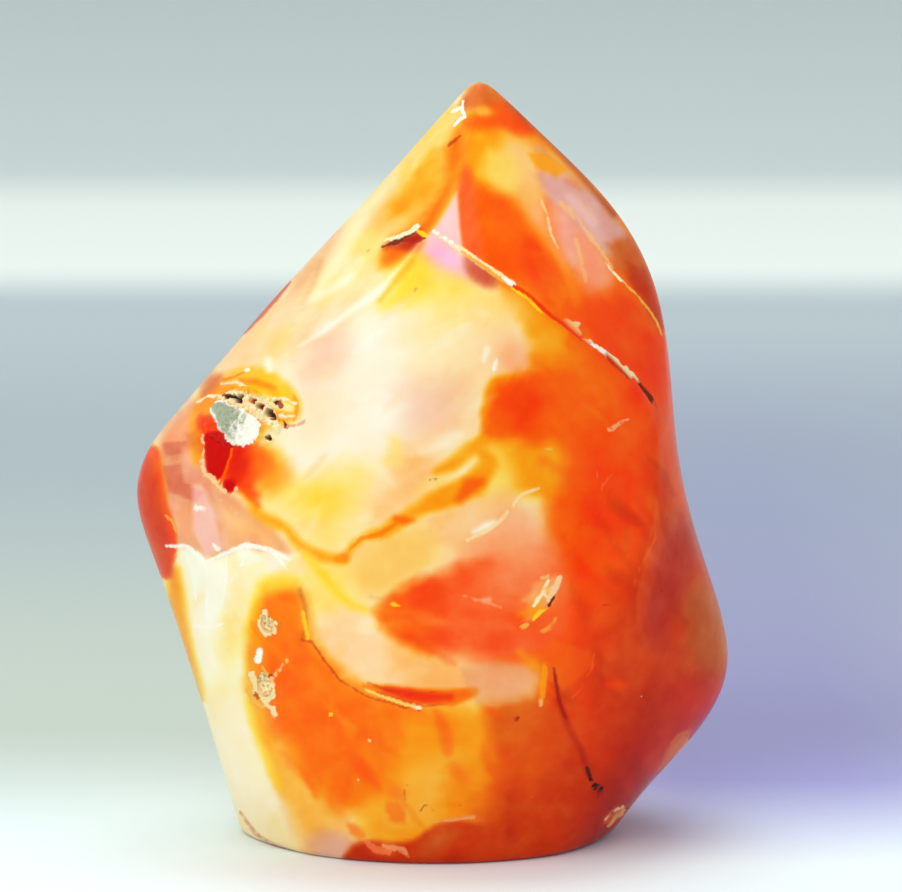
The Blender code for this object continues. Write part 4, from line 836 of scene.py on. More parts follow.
@dataclass(frozen=True)
class Veils:
    """Faint cloudy planes inside the stone, scattered over one part of the front view.

    angle is the way they run, in degrees below level to the right, and stray how far one may turn from
    that. length and width are their least and greatest sizes in steps, and jitter is how far a corner
    strays round the veil, as a share of the way to the next.
    """

    tones: tuple[Tone, ...]
    outline: Outline
    count: int
    angle: float
    length: tuple[float, float] = (18.0, 60.0)
    width: tuple[float, float] = (5.0, 18.0)
    edge: tuple[float, float] = (1.2, 5.0)
    cover: tuple[float, float] = (0.12, 0.34)
    seed: int = 1
    stray: float = 16.0
    corner_count: int = 6
    jitter: float = 0.3
    wander: float = 3.0
    sharp_share: float = 0.4

    def patches(self) -> list[Patch]:
        """The veils as patches, the same ones each time.

        Returns:
            One patch for each veil.
        """
        draw = random.Random(self.seed)
        across, down = zip(*self.outline)
        corners = np.array(self.outline, float)
        made: list[Patch] = []
        while len(made) < self.count:
            middle = np.array((draw.uniform(min(across), max(across)), draw.uniform(min(down), max(down))))
            if depth_in_outline(middle[None], corners)[0] < 0:
                continue
            turn = math.radians(self.angle + draw.gauss(0.0, self.stray))
            along = np.array((math.cos(turn), math.sin(turn)))
            side = np.array((-along[1], along[0]))
            half_long, half_wide = draw.uniform(*self.length) / 2, draw.uniform(*self.width) / 2
            shape = []
            for step in range(self.corner_count):
                angle = math.tau * (step + draw.uniform(-self.jitter, self.jitter)) / self.corner_count
                spot = middle + along * half_long * math.cos(angle) + side * half_wide * math.sin(angle)
                shape.append((float(spot[0]), float(spot[1])))
            made.append(Patch(draw.choice(self.tones), tuple(shape), draw.uniform(*self.edge), self.wander,
                              draw.uniform(*self.cover), draw.random() < self.sharp_share, True))
        return made


# Faint planes inside the stone, region by region
VEILS = (
    Veils((Tone.WHITE, Tone.MILK, Tone.PEACH, Tone.IVORY), ((270, 310), (440, 262), (500, 320), (480, 430),
        (380, 500), (280, 470), (262, 400)), 46, -28, seed=11),
    Veils((Tone.WHITE, Tone.STRAW, Tone.PEACH, Tone.IVORY), ((470, 100), (380, 170), (250, 320), (250, 360),
        (330, 320), (430, 220)), 40, -50, seed=12),
    Veils((Tone.STRAW, Tone.PEACH, Tone.MILK, Tone.APRICOT), ((270, 470), (500, 440), (520, 500),
        (400, 600), (430, 700), (320, 660), (300, 560)), 44, -24, seed=13),
    Veils((Tone.PINK, Tone.PEACH, Tone.ROSE, Tone.BLUSH), ((165, 400), (200, 400), (210, 490), (290, 550),
        (200, 550), (160, 500)), 26, 62, (10.0, 40.0), seed=14),
    Veils((Tone.WHITE, Tone.MILK, Tone.STRAW, Tone.PEACH), ((175, 560), (250, 560), (250, 700), (300, 850),
        (240, 840), (200, 700)), 34, 72, seed=15),
    Veils((Tone.EMBER, Tone.AMBER, Tone.ORANGE, Tone.TANGERINE), ((480, 180), (560, 300), (650, 400),
        (650, 560), (560, 540), (500, 400), (560, 330)), 44, 48, seed=16),
    Veils((Tone.BRICK, Tone.EMBER, Tone.RUST, Tone.TERRACOTTA), ((640, 420), (700, 560), (720, 660),
        (600, 850), (500, 850), (560, 660)), 44, 62, seed=17),
    Veils((Tone.AMBER, Tone.TANGERINE, Tone.HONEY, Tone.EMBER), ((250, 600), (330, 680), (500, 710),
        (500, 800), (380, 850), (300, 800)), 44, 52, seed=18),
    Veils((Tone.SCARLET, Tone.SALMON, Tone.CORAL, Tone.EMBER), ((380, 600), (500, 560), (560, 600),
        (540, 660), (430, 660)), 24, 18, seed=19),
    Veils((Tone.SALMON, Tone.APRICOT, Tone.ROSE, Tone.ORANGE), ((530, 140), (640, 240), (660, 340),
        (600, 300), (540, 220)), 30, 56, (14.0, 44.0), seed=20),
)


@dataclass
class Paint:
    """What the markings leave at each corner of a mesh: the clouds below, the fine marks above."""

    colour: np.ndarray
    mark_colour: np.ndarray
    mark_depth: np.ndarray
    mark_cover: np.ndarray
    relief: np.ndarray
    dull: np.ndarray


@dataclass(frozen=True)
class MarkingPainter:
    """Lays the markings over one another on the stone's corners.

    The colours run through the stone, so towards the back the same zones go on, softer and turned by
    slow waves. What is marked as skin is only on the front.
    """

    view: FrontView = FrontView()
    # Waves, in millimetres from the finest to the slowest, and fibres, along, aside and inwards
    wave_sizes: tuple[float, ...] = (0.55, 1.6, 4.5, 17.0)
    wave_seed: int = 3
    fibre_size: tuple[float, float, float] = (7.5, 0.9, 4.0)
    # The fibres' lean in degrees at the left and the right, and where it changes across the view
    fibre_lean: tuple[float, float] = (-32.0, 52.0)
    fibre_turn: tuple[float, float] = (330.0, 560.0)
    # From which facing the surface counts as the back, and from which as the front
    back_facing: tuple[float, float] = (-0.45, 0.02)
    back_drift: float = 120.0
    # How far the layers turn towards the back, in degrees, and the picture place they turn about
    back_turn: float = 48.0
    turn_centre: tuple[float, float] = (450.0, 540.0)
    back_softness: float = 2.0
    # How far back, in millimetres, the colours start to wander and wander fully
    drift_depths: tuple[float, float] = (6.0, 24.0)
    # Veins with a narrower edge than this are fine marks, which lie crisp above the clouds
    fine_edge: float = 2.3
    # How much the stone's density changes with its fibres, its broad clouds and its small ones
    cloudiness: tuple[float, float, float] = (0.05, 0.16, 0.08)
    cloud_limits: tuple[float, float] = (0.5, 1.6)
    cloud_softness: float = 1.5
    cloud_wander: float = 0.6
    fine_thinness: float = 0.72
    fine_gain: float = 0.25
    thin_width: float = 2.5
    # How much a border strays with the quick waves, the middle ones and the fibres
    sway: tuple[float, float, float] = (0.5, 0.8, 0.3)
    mark_sway: float = 1.2
    cloud_sway: float = 0.2
    shift: float = 0.6
    margin: float = 8.0
    far_depth: float = -8.0
    full_depth: float = 3.0

    def waves(self, points: np.ndarray) -> list[np.ndarray]:
        """Slow and quick wandering at each corner, as one array of three-part moves for each size."""
        noise.seed_set(self.wave_seed)
        return [
            np.array([noise.noise_vector(Vector(place)) for place in points / (size * MM)])
            for size in self.wave_sizes
        ]

    def fibres(self, points: np.ndarray, places: np.ndarray) -> np.ndarray:
        """Streaks along the stone's grain, which falls to the right on the right and rises on the left.

        Args:
            points: The corners' places in metres.
            places: Where they lie on the view.

        Returns:
            Each corner's streak, from about -1 to 1.
        """
        left, right = self.fibre_lean
        lean = np.radians(left + (right - left) * ease(*self.fibre_turn, places[:, 0]))
        across, up = points[:, 0], points[:, 2]
        along = across * np.cos(lean) - up * np.sin(lean)
        aside = across * np.sin(lean) + up * np.cos(lean)
        length, breadth, inward = (size * MM for size in self.fibre_size)
        spots = np.stack((along / length, points[:, 1] / inward, aside / breadth), 1)
        return np.array([noise.noise(Vector(spot)) for spot in spots])

    def turned(self, places: np.ndarray, away: np.ndarray) -> np.ndarray:
        """Turns the view's places with depth, as the stone's layers lean.

        The back's colours would otherwise be the front's, mirrored.

        Args:
            places: The places on the view.
            away: How far towards the back each one is, from 0 to 1.

        Returns:
            The places that give each corner its colour.
        """
        angle = np.radians(self.back_turn) * away
        across, down = (places - self.turn_centre).T
        right = across * np.cos(angle) - down * np.sin(angle)
        low = across * np.sin(angle) + down * np.cos(angle)
        return np.stack((right, low), 1) + self.turn_centre

    def paint(self, points: np.ndarray, normals: np.ndarray) -> Paint:
        """Works out every corner's colours, relief and dullness.

        Args:
            points: The corners' places in metres.
            normals: The way each corner's surface faces.

        Returns:
            The colours (linear), the fine marks' depth and cover, relief in millimetres and dullness.
        """
        fine, quick, middle, slow = self.waves(points)
        back = 1 - ease(*self.back_facing, self.view.facing(points, normals))
        away = back * ease(*self.drift_depths, points[:, 1] / MM)
        places = self.turned(self.view.place(points), away)
        places += slow[:, :2] * (self.back_drift * away)[:, None]
        streak = self.fibres(points, places)
        soften = 1 + self.back_softness * away
        dense = np.tile(density(Tone.CREAM), (len(points), 1))
        mark_colour = np.tile(linear(Tone.CREAM), (len(points), 1))
        mark_depth = np.full(len(points), self.far_depth)
        mark_cover = np.zeros(len(points))
        relief, dull = np.zeros(len(points)), np.zeros(len(points))
        veils = [patch for layer in VEILS for patch in layer.patches()]
        for number, marking in enumerate((*GROUNDS, *CLOUDS, *veils, *MARKS)):
            fine_mark = isinstance(marking, Vein) and marking.skin and marking.edge < self.fine_edge
            edge = marking.edge * (self.fine_thinness if fine_mark else self.cloud_softness)
            wander = marking.wander * (self.fine_thinness if fine_mark else self.cloud_wander)
            margin = (edge + wander) * (1 + self.back_softness) + self.margin
            left, right, top, bottom = marking.reach()
            near = (places[:, 0] > left - margin) & (places[:, 0] < right + margin)
            near &= (places[:, 1] > top - margin) & (places[:, 1] < bottom + margin)
            near = np.flatnonzero(near)
            if not len(near):
                continue
            which, other = number % 3, (number + 1) % 3
            moves = quick[near, which], middle[near, which], streak[near]
            sway = sum(move * share for move, share in zip(moves, self.sway))
            sway += fine[near, which] * (self.mark_sway if fine_mark else self.cloud_sway)
            shift = np.stack((quick[near, which], quick[near, other]), 1) * wander * self.shift
            depth = marking.depth(places[near] + shift) + sway * wander
            if fine_mark:
                broad = max(marking.path[0][2] - self.thin_width, 0)
                depth -= broad * (1 - self.fine_thinness) / 2 - self.fine_gain
            scaled = depth / (edge * soften[near])
            share = ease(-1.0, 1.0, scaled) * marking.cover
            if marking.skin:
                share = share * (1 - back[near])
            relief[near] += marking.relief * share
            dull[near] = np.maximum(dull[near], marking.dull * share)
            if fine_mark:
                wins = ((scaled > 0) | (scaled > mark_depth[near])) & (back[near] < 0.5)
                won = near[wins]
                mark_depth[won] = np.clip(scaled[wins], self.far_depth, self.full_depth)
                mark_colour[won] = linear(marking.tone)
                mark_cover[won] = marking.cover
            else:
                dense[near] += (density(marking.tone) - dense[near]) * share[:, None]
        cloud = np.ones(len(points))
        for wave, share in zip((streak, middle[:, 0], quick[:, 1]), self.cloudiness):
            cloud += wave * share
        colour = np.exp(-dense * np.clip(cloud, *self.cloud_limits)[:, None])
        return Paint(colour, mark_colour, mark_depth, mark_cover, relief, dull)


@dataclass(frozen=True)
class Rail:
    """One line down the stone, from the point to the base.

    Its stations are (height, x, y, crease), in millimetres, with the crease from 0, smooth, to 1, sharp.
    """

    stations: tuple[tuple[float, float, float, float], ...]
    apex: tuple[float, float, float]

    def columns(self) -> np.ndarray:
        """The stations with the apex that all rails meet at, lowest first."""
        return np.array(sorted([(*self.apex, self.stations[0][3]), *self.stations]))

    def at(self, heights: np.ndarray) -> tuple[np.ndarray, np.ndarray]:
        """The rail's (x, y) and its crease at each height.

        Args:
            heights: The heights in millimetres.

        Returns:
            The places as rows of (x, y), and the creases.
        """
        table = self.columns()
        x = spline(table[:, 0], table[:, 1], heights)
        y = spline(table[:, 0], table[:, 2], heights)
        return np.stack((x, y), 1), np.interp(heights, table[:, 0], table[:, 3])


def spline(knots: np.ndarray, values: np.ndarray, at: np.ndarray) -> np.ndarray:
    """A natural cubic spline through the values, read at the places given.

    Args:
        knots: The rising places that have values.
        values: The values there.
        at: The places to read.

    Returns:
        The values at those places.
    """
    steps = np.diff(knots)
    slopes = np.diff(values) / steps
    count = len(knots)
    system = np.eye(count)
    right = np.zeros(count)
    for i in range(1, count - 1):
        system[i, i - 1 : i + 2] = steps[i - 1], 2 * (steps[i - 1] + steps[i]), steps[i]
        right[i] = 6 * (slopes[i] - slopes[i - 1])
    bends = np.linalg.solve(system, right)
    i = np.clip(np.searchsorted(knots, at) - 1, 0, count - 2)
    a = (knots[i + 1] - at) / steps[i]
    b = 1 - a
    sag = (a**3 - a) * bends[i] + (b**3 - b) * bends[i + 1]
    return a * values[i] + b * values[i + 1] + sag * steps[i] ** 2 / 6


@dataclass(frozen=True)
class Bite:
    """A hollow cut on the front: its place (x, height), radii along, across and into the face, and tilt."""

    name: str
    place: tuple[float, float]
    radii: tuple[float, float, float]
    tilt: float
    tone: Tone
    roughness: float = 0.25
    detail: int = 4


@dataclass(frozen=True)
class Chip:
    """A round chip out of the rim: the bite's middle (x, y, height) and radius."""

    name: str
    centre: tuple[float, float, float]
    radius: float
    roughness: float = 0.05
    detail: int = 5


def deselect() -> None:
    """Leaves no object selected or active."""
    if bpy.context.object and bpy.context.object.mode != "OBJECT":
        bpy.ops.object.mode_set(mode="OBJECT")
    bpy.ops.object.select_all(action="DESELECT")
    bpy.context.view_layer.objects.active = None


def activate(obj: bpy.types.Object) -> None:
    """Makes the object the only one selected, and the active one."""
    deselect()
    obj.select_set(True)
    bpy.context.view_layer.objects.active = obj


def cut(obj: bpy.types.Object, cutter: bpy.types.Object) -> None:
    """Takes the cutter's shape out of the object, and removes the cutter.

    Args:
        obj: The object to cut.
        cutter: The shape to take out.
    """
    activate(obj)
    modifier = obj.modifiers.new("cut", "BOOLEAN")
    modifier.operation = "DIFFERENCE"
    modifier.solver = "MANIFOLD"
    modifier.object = cutter
    bpy.ops.object.modifier_apply(modifier=modifier.name)
    bpy.data.objects.remove(cutter)


def lump(name: str, radii: tuple[float, float, float], detail: int, roughness: float, seed: float,
         fineness: float = 1.7) -> bpy.types.Object:
    """A lumpy ellipsoid, with its radii in millimetres.

    Args:
        name: The object's name.
        radii: Its half sizes along X, Y and Z.
        detail: How finely it is divided.
        roughness: How lumpy it is, as a share of its size.
        seed: Which lumps it has.
        fineness: How close together the lumps are.

    Returns:
        The new object, at the origin.
    """
    deselect()
    bpy.ops.mesh.primitive_ico_sphere_add(subdivisions=detail, radius=1.0)
    obj = bpy.context.object
    obj.name = name
    for vert in obj.data.vertices:
        swell = 1 + roughness * noise.noise(vert.co * fineness + Vector((seed, seed, seed)))
        vert.co = Vector([c * swell * r * MM for c, r in zip(vert.co, radii)])
    return obj


@dataclass
class FlameStone:
    """The polished stone: its outside on nine rails, its pocket, pits and chips, and its markings."""

    height: float = 104.0
    tip_rounding: float = 1.5
    apex: tuple[float, float] = (6.2, 1.0)
    base_edge: float = 1.1
    base_edge_steps: int = 5
    ring_count: int = 168
    ring_easing: float = 0.35
    columns: tuple[int, ...] = (14, 26, 30, 34, 22, 12, 14, 13, 12)
    splits: int = 4
    sharp_angle: float = math.radians(32)
    face_budget: int = 188_000
    contrast: float = 0.02
    mark_reach: float = -1.6
    # What share of the spare faces goes to cells split once, and of the rest to cells split twice
    split_shares: tuple[float, float] = (0.55, 0.9)
    display_power: float = 0.4545
    relief_limits: tuple[float, float] = (-0.4, 0.12)
    # How a hollow's walls take its tone with depth, in millimetres, and how speckled they are
    hollow_reach: float = 1.4
    hollow_fade: tuple[float, float] = (0.05, 0.5)
    speckle_size: float = 0.28
    speckle: float = 0.9
    speckle_limits: tuple[float, float] = (0.25, 1.6)
    rails: tuple[tuple[tuple[float, float, float, float], ...], ...] = (
        # Left edge
        ((88.0, -9.0, 2.0, 0.5), (74.0, -21.9, 2.5, 0.5), (60.0, -33.9, 2.0, 0.4), (53.0, -39.3, 1.0, 0.2),
         (46.5, -40.7, 0.0, 0.1), (39.0, -38.7, 0.0, 0.1), (18.0, -32.0, 0.0, 0.2), (0.0, -26.6, 0.0, 0.0)),
        # Ridge that sweeps to the left corner
        ((96.0, 4.0, -6.2, 0.8), (86.0, -1.1, -12.6, 0.8), (74.0, -13.5, -15.5, 0.7),
         (60.0, -29.5, -11.5, 0.5), (47.0, -35.5, -11.5, 0.3), (35.0, -27.0, -17.0, 0.5),
         (20.0, -20.5, -19.0, 0.5), (0.0, -17.0, -15.2, 0.1)),
        # Front, left of the middle
        ((96.0, 5.2, -6.7, 0.0), (86.0, 1.6, -13.9, 0.0), (74.0, -4.5, -19.8, 0.0),
         (60.0, -13.0, -22.0, 0.0), (47.0, -17.0, -23.5, 0.0), (35.0, -12.0, -25.3, 0.0),
         (20.0, -7.0, -25.0, 0.0), (0.0, -5.0, -19.8, 0.0)),
        # Front, middle
        ((96.0, 6.4, -6.8, 0.0), (86.0, 4.4, -14.2, 0.0), (74.0, 6.0, -20.8, 0.0), (60.0, 7.0, -24.5, 0.0),
         (47.0, 6.0, -26.4, 0.0), (35.0, 7.5, -27.2, 0.0), (20.0, 9.0, -25.6, 0.0), (0.0, 5.5, -19.8, 0.0)),
        # Ridge that runs down to the right
        ((96.0, 7.8, -6.4, 0.5), (86.0, 8.0, -13.6, 0.5), (74.0, 16.5, -18.6, 0.5),
         (62.0, 28.5, -14.0, 0.4), (50.0, 30.0, -15.0, 0.1), (35.0, 29.0, -19.5, 0.1),
         (20.0, 28.0, -18.5, 0.1), (0.0, 17.6, -14.6, 0.0)),
        # Right edge
        ((96.3, 15.5, 1.0, 0.3), (88.0, 23.6, 0.5, 0.3), (78.0, 29.6, -1.0, 0.2), (66.0, 32.2, -2.0, 0.1),
         (52.0, 33.7, -2.0, 0.0), (40.0, 36.7, -1.5, 0.0), (30.0, 39.8, -1.0, 0.0), (23.5, 40.5, -1.0, 0.0),
         (15.0, 36.9, -0.5, 0.0), (7.0, 30.0, 0.0, 0.0), (0.0, 24.6, 0.0, 0.0)),
        # Back, right
        ((96.0, 12.8, 6.0, 0.0), (86.0, 19.5, 9.0, 0.0), (74.0, 23.0, 11.5, 0.0), (60.0, 21.5, 14.5, 0.0),
         (47.0, 21.0, 18.0, 0.0), (35.0, 26.0, 19.5, 0.0), (20.0, 27.0, 18.0, 0.0), (0.0, 16.5, 13.0, 0.0)),
        # Long ridge down the back
        ((96.0, 8.3, 7.4, 0.7), (86.0, 10.0, 14.0, 0.7), (74.0, 8.0, 20.5, 0.7), (60.0, 1.0, 25.0, 0.6),
         (47.0, -7.0, 26.5, 0.5), (35.0, -11.0, 25.5, 0.4), (20.0, -11.0, 21.5, 0.2),
         (0.0, -6.0, 17.5, 0.0)),
        # Back, left
        ((96.0, 1.3, 5.2, 0.0), (86.0, -3.5, 9.6, 0.0), (74.0, -10.5, 13.5, 0.0), (60.0, -19.5, 16.5, 0.0),
         (47.0, -27.0, 16.0, 0.0), (35.0, -26.5, 15.0, 0.0), (20.0, -22.5, 13.5, 0.0),
         (0.0, -17.5, 11.5, 0.0)),
    )
    pocket: Bite = Bite("pocket", (-26.3, 60.4), (7.6, 4.3, 3.5), -12.0, Tone.AMBER, 0.12, 6)
    pocket_seed: float = 3.0
    bites: tuple[Bite, ...] = (
        Bite("upper_pit", (-22.3, 33.2), (1.1, 1.4, 0.8), 12.0, Tone.BEIGE),
        Bite("lower_pit", (-22.9, 24.3), (1.5, 2.1, 0.9), -25.0, Tone.BEIGE),
    )
    chips: tuple[Chip, ...] = (
        Chip("flank_chip", (37.6, -12.5, 8.6), 6.2),
        Chip("rim_chip", (27.6, -17.5, -1.0), 5.2),
        Chip("heel_chip", (16.4, -20.4, -4.9), 5.6),
    )

    def levels(self) -> tuple[np.ndarray, np.ndarray]:
        """Each ring's height and how far it is drawn in, from the rounded base edge up.

        Returns:
            The heights and the insets, in millimetres.
        """
        turns = np.linspace(math.pi / 2, 0.0, self.base_edge_steps)
        rise = np.arange(2, self.ring_count) / self.ring_count
        wall = self.height * rise * (1 + self.ring_easing * (1 - rise))
        wall = wall[wall > self.base_edge * 1.2]
        heights = np.concatenate((self.base_edge * (1 - np.sin(turns)), wall))
        insets = np.concatenate((self.base_edge * (1 - np.cos(turns)), np.zeros(len(wall))))
        fine = np.arange((len(heights) - 1) * self.splits + 1) / self.splits
        whole = np.arange(len(heights))
        return np.interp(fine, whole, heights), np.interp(fine, whole, insets)

    def sections(self) -> np.ndarray:
        """The outline of every ring, as an array of rings by columns by (x, y, z), in millimetres.

        Returns:
            The array.
        """
        heights, insets = self.levels()
        apex = (self.height + self.tip_rounding, *self.apex)
        read = [Rail(stations, apex).at(heights) for stations in self.rails]
        points = np.stack([r[0] for r in read], 1)
        creases = np.stack([r[1] for r in read], 1)[:, :, None]
        before = points - np.roll(points, 1, axis=1)
        after = np.roll(points, -1, axis=1) - points
        back, ahead = np.linalg.norm(before, axis=2)[:, :, None], np.linalg.norm(after, axis=2)[:, :, None]
        even = (before / back * ahead + after / ahead * back) / (back + ahead)
        arriving = even + (before / back - even) * creases
        leaving = even + (after / ahead - even) * creases
        outlines = []
        for i, count in enumerate(self.columns):
            t = (np.arange(count * self.splits) / (count * self.splits))[None, :, None]
            j = (i + 1) % len(self.rails)
            reach = ahead[:, i, None]
            outlines.append(
                points[:, i, None] * (2 * t**3 - 3 * t**2 + 1)
                + leaving[:, i, None] * reach * (t**3 - 2 * t**2 + t)
                + points[:, j, None] * (3 * t**2 - 2 * t**3)
                + arriving[:, j, None] * reach * (t**3 - t**2)
            )
        ring = np.concatenate(outlines, 1)
        along = np.roll(ring, -1, axis=1) - np.roll(ring, 1, axis=1)
        along /= np.linalg.norm(along, axis=2)[:, :, None]
        ring += np.stack((-along[:, :, 1], along[:, :, 0]), 2) * insets[:, None, None]
        fall = self.tip_rounding / (self.height + self.tip_rounding - heights)
        shrink = np.sqrt(np.clip(1 - fall**2, 0, 1))[:, None, None]
        centre = np.array(self.apex)
        ring = centre + (ring - centre) * shrink
        tall = np.broadcast_to(heights[:, None, None], (*ring.shape[:2], 1))
        return np.concatenate((ring, tall), 2)

    def choose_cells(self, places: np.ndarray, painter: MarkingPainter) -> list[tuple[int, int, int]]:
        """Picks how finely each part of the grid is divided: finer where colours change and at fine marks.

        Args:
            places: The fine grid of places in metres, rings by columns.
            painter: What lays the markings.

        Returns:
            The cells, as (ring, column, span) in steps of the fine grid.
        """
        around = np.roll(places, -1, axis=1) - np.roll(places, 1, axis=1)
        normals = np.cross(around, np.gradient(places, axis=0))
        normals /= np.maximum(np.linalg.norm(normals, axis=2), 1e-12)[:, :, None]
        step, half = self.splits, self.splits // 2
        rows, columns = (places.shape[0] - 1) // step, places.shape[1] // step

        def read(rows_at: np.ndarray, columns_at: np.ndarray) -> Paint:
            """The paint at these places of the fine grid."""
            return painter.paint(places[rows_at, columns_at], normals[rows_at, columns_at])

        row, column = np.mgrid[0 : rows * step + 1 : step, 0 : columns * step : step]
        shown = read(row.ravel(), column.ravel()).colour.reshape(rows + 1, columns, 3)
        shown = shown**self.display_power
        across = np.roll(shown, -1, axis=1)
        four = np.stack((shown[:-1], shown[1:], across[:-1], across[1:]))
        spread = (four.max(0) - four.min(0)).max(2)
        # A square cell is two triangles, and splitting it in four adds six
        room = self.face_budget - rows * columns * 2
        once, twice = self.split_shares
        wanted = np.argsort(-spread, axis=None)
        wanted = wanted[spread.ravel()[wanted] > self.contrast][: int(room * once) // 6]
        coarse = np.ones(rows * columns, bool)
        coarse[wanted] = False
        cells = [(int(k // columns) * step, int(k % columns) * step, step) for k in np.flatnonzero(coarse)]
        halves = [
            (int(k // columns) * step + i, int(k % columns) * step + j)
            for k in wanted for i in (0, half) for j in (0, half)
        ]
        room -= len(wanted) * 6
        corners = np.array([(i + a * half, (j + b * half) % places.shape[1])
                            for i, j in halves for a in (0, 1) for b in (0, 1)])
        unique, back = np.unique(corners, axis=0, return_inverse=True)
        marked = read(unique[:, 0], unique[:, 1])
        nearness = np.where(marked.mark_cover > 0, marked.mark_depth, painter.far_depth)
        nearness = nearness[back.ravel()].reshape(-1, 4).max(1)
        near_count = int((nearness > self.mark_reach).sum())
        finest = set(np.argsort(-nearness)[: min(near_count, int(room * twice) // 6)])
        for k, (i, j) in enumerate(halves):
            if k in finest:
                cells += [(i + a, j + b, 1) for a in range(half) for b in range(half)]
            else:
                cells.append((i, j, half))
        LOG.info("%d cells, %d split once, %d split twice", rows * columns, len(wanted), len(finest))
        return cells

    def make_body(self, painter: MarkingPainter) -> tuple[bpy.types.Object, Vector]:
        """Lofts the polished outside over the rails and stands it where the CAD stone stands.

        Args:
            painter: What lays the markings, so that the mesh is finest where they need it.

        Returns:
            The new object and the move, in metres, from the rails' frame to the stone's.
        """
        places = self.sections() * MM
        spread = places.reshape(-1, 3)
        low, high = spread.min(0), spread.max(0)
        high[2] = self.height * MM
        move = np.array((-(low[0] + high[0]) / 2, -(low[1] + high[1]) / 2, -low[2]))
        fit = np.array([min(1.0, (b - a) / (d - c)) for a, b, c, d in zip(cad_low, cad_high, low, high)])
        places = (places + move) * fit
        tip = (np.array((self.apex[0] * MM, self.apex[1] * MM, self.height * MM)) + move) * fit
        cells = self.choose_cells(places, painter)
        count, around = places.shape[:2]
        used: set[tuple[int, int]] = set()
        for i, j, span in cells:
            right = (j + span) % around
            used.update(((i, j), (i, right), (i + span, right), (i + span, j)))
        order = {key: number for number, key in enumerate(sorted(used))}
        faces = []
        for i, j, span in cells:
            loop = [(i, (j + k) % around) for k in range(span)]
            loop += [(i + k, (j + span) % around) for k in range(span)]
            loop += [(i + span, (j + span - k) % around) for k in range(span)]
            loop += [(i + span - k, j) for k in range(span)]
            faces.append([order[key] for key in loop if key in order])
        rim = [order[(count - 1, j)] for j in range(around) if (count - 1, j) in order]
        base = [order[(0, j)] for j in range(around) if (0, j) in order]
        faces += [(a, b, len(order)) for a, b in zip(rim, rim[1:] + rim[:1])]
        faces.append(base[::-1])
        corners = [tuple(places[key]) for key in sorted(used)] + [tuple(tip)]
        mesh = bpy.data.meshes.new("carnelian_flame")
        mesh.from_pydata(corners, [], faces)
        obj = bpy.data.objects.new("carnelian_flame", mesh)
        bpy.context.scene.collection.objects.link(obj)
        return obj, Vector(move)

    def cut_hollows(self, obj: bpy.types.Object, move: Vector) -> tuple[BVHTree, Matrix, list[Matrix]]:
        """Cuts the pocket, the pits and the chips.

        Args:
            obj: The polished outside.
            move: The move from the rails' frame to the stone's.

        Returns:
            The uncut outside, the pocket's own frame (X along it, Y across it and Z out of the face) and
            the frames of the small bites, in the order that they are listed.
        """
        mesh = obj.data
        corners = [v.co.copy() for v in mesh.vertices]
        tree = BVHTree.FromPolygons(corners, [list(p.vertices) for p in mesh.polygons])

        def face_frame(bite: Bite) -> Matrix:
            """The frame on the front face at the bite's place.

            Args:
                bite: The hollow.

            Returns:
                The frame: X along the hollow, Y across it and Z out of the face.
            """
            start = Vector((bite.place[0] * MM + move.x, -1.0, bite.place[1] * MM + move.z))
            spot, normal, _, _ = tree.ray_cast(start, Vector((0, 1, 0)))
            level = Vector((0, 0, 1)).cross(normal).normalized()
            axes = Matrix((level, normal.cross(level), normal)).transposed()
            tilted = axes @ Matrix.Rotation(math.radians(bite.tilt), 3, "Z")
            return Matrix.Translation(spot) @ tilted.to_4x4()

        pocket_frame = face_frame(self.pocket)
        pocket = self.pocket
        hollow = lump(pocket.name, pocket.radii, pocket.detail, pocket.roughness, self.pocket_seed)
        hollow.data.transform(pocket_frame)
        cut(obj, hollow)
        frames = []
        for bite in self.bites:
            hollow = lump(bite.name, bite.radii, bite.detail, bite.roughness, bite.radii[0])
            frames.append(face_frame(bite))
            hollow.data.transform(frames[-1])
            cut(obj, hollow)
        for chip in self.chips:
            hollow = lump(chip.name, (chip.radius,) * 3, chip.detail, chip.roughness, chip.radius)
            hollow.data.transform(Matrix.Translation(Vector(chip.centre) * MM + move))
            cut(obj, hollow)
        return tree, pocket_frame, frames

    def darken_hollows(self, points: np.ndarray, paint: Paint, outside: BVHTree,
                       frames: list[Matrix]) -> None:
        """Gives the pocket's walls and the pits their own rough tones.

        Args:
            points: The stone's corners in metres.
            paint: What the markings left, changed in place.
            outside: The stone's outside without its hollows.
            frames: The frames of the pocket and the bites.
        """
        for bite, frame_at in zip((self.pocket, *self.bites), frames):
            middle = np.array(frame_at.translation)
            reach = max(bite.radii) * self.hollow_reach * MM
            near = np.flatnonzero(np.linalg.norm(points - middle, axis=1) < reach)
            below = np.array([outside.find_nearest(Vector(points[k]))[3] for k in near]) / MM
            share = ease(*self.hollow_fade, below)
            grains = [Vector(points[k]) / (self.speckle_size * MM) for k in near]
            speckle = np.array([noise.fractal(grain, 1.0, 2.0, 2) for grain in grains])
            inside = linear(bite.tone) * np.clip(1.0 + self.speckle * speckle, *self.speckle_limits)[:, None]
            paint.colour[near] += (inside - paint.colour[near]) * share[:, None]
            paint.mark_cover[near] *= 1 - share
            paint.dull[near] = np.maximum(paint.dull[near], share)

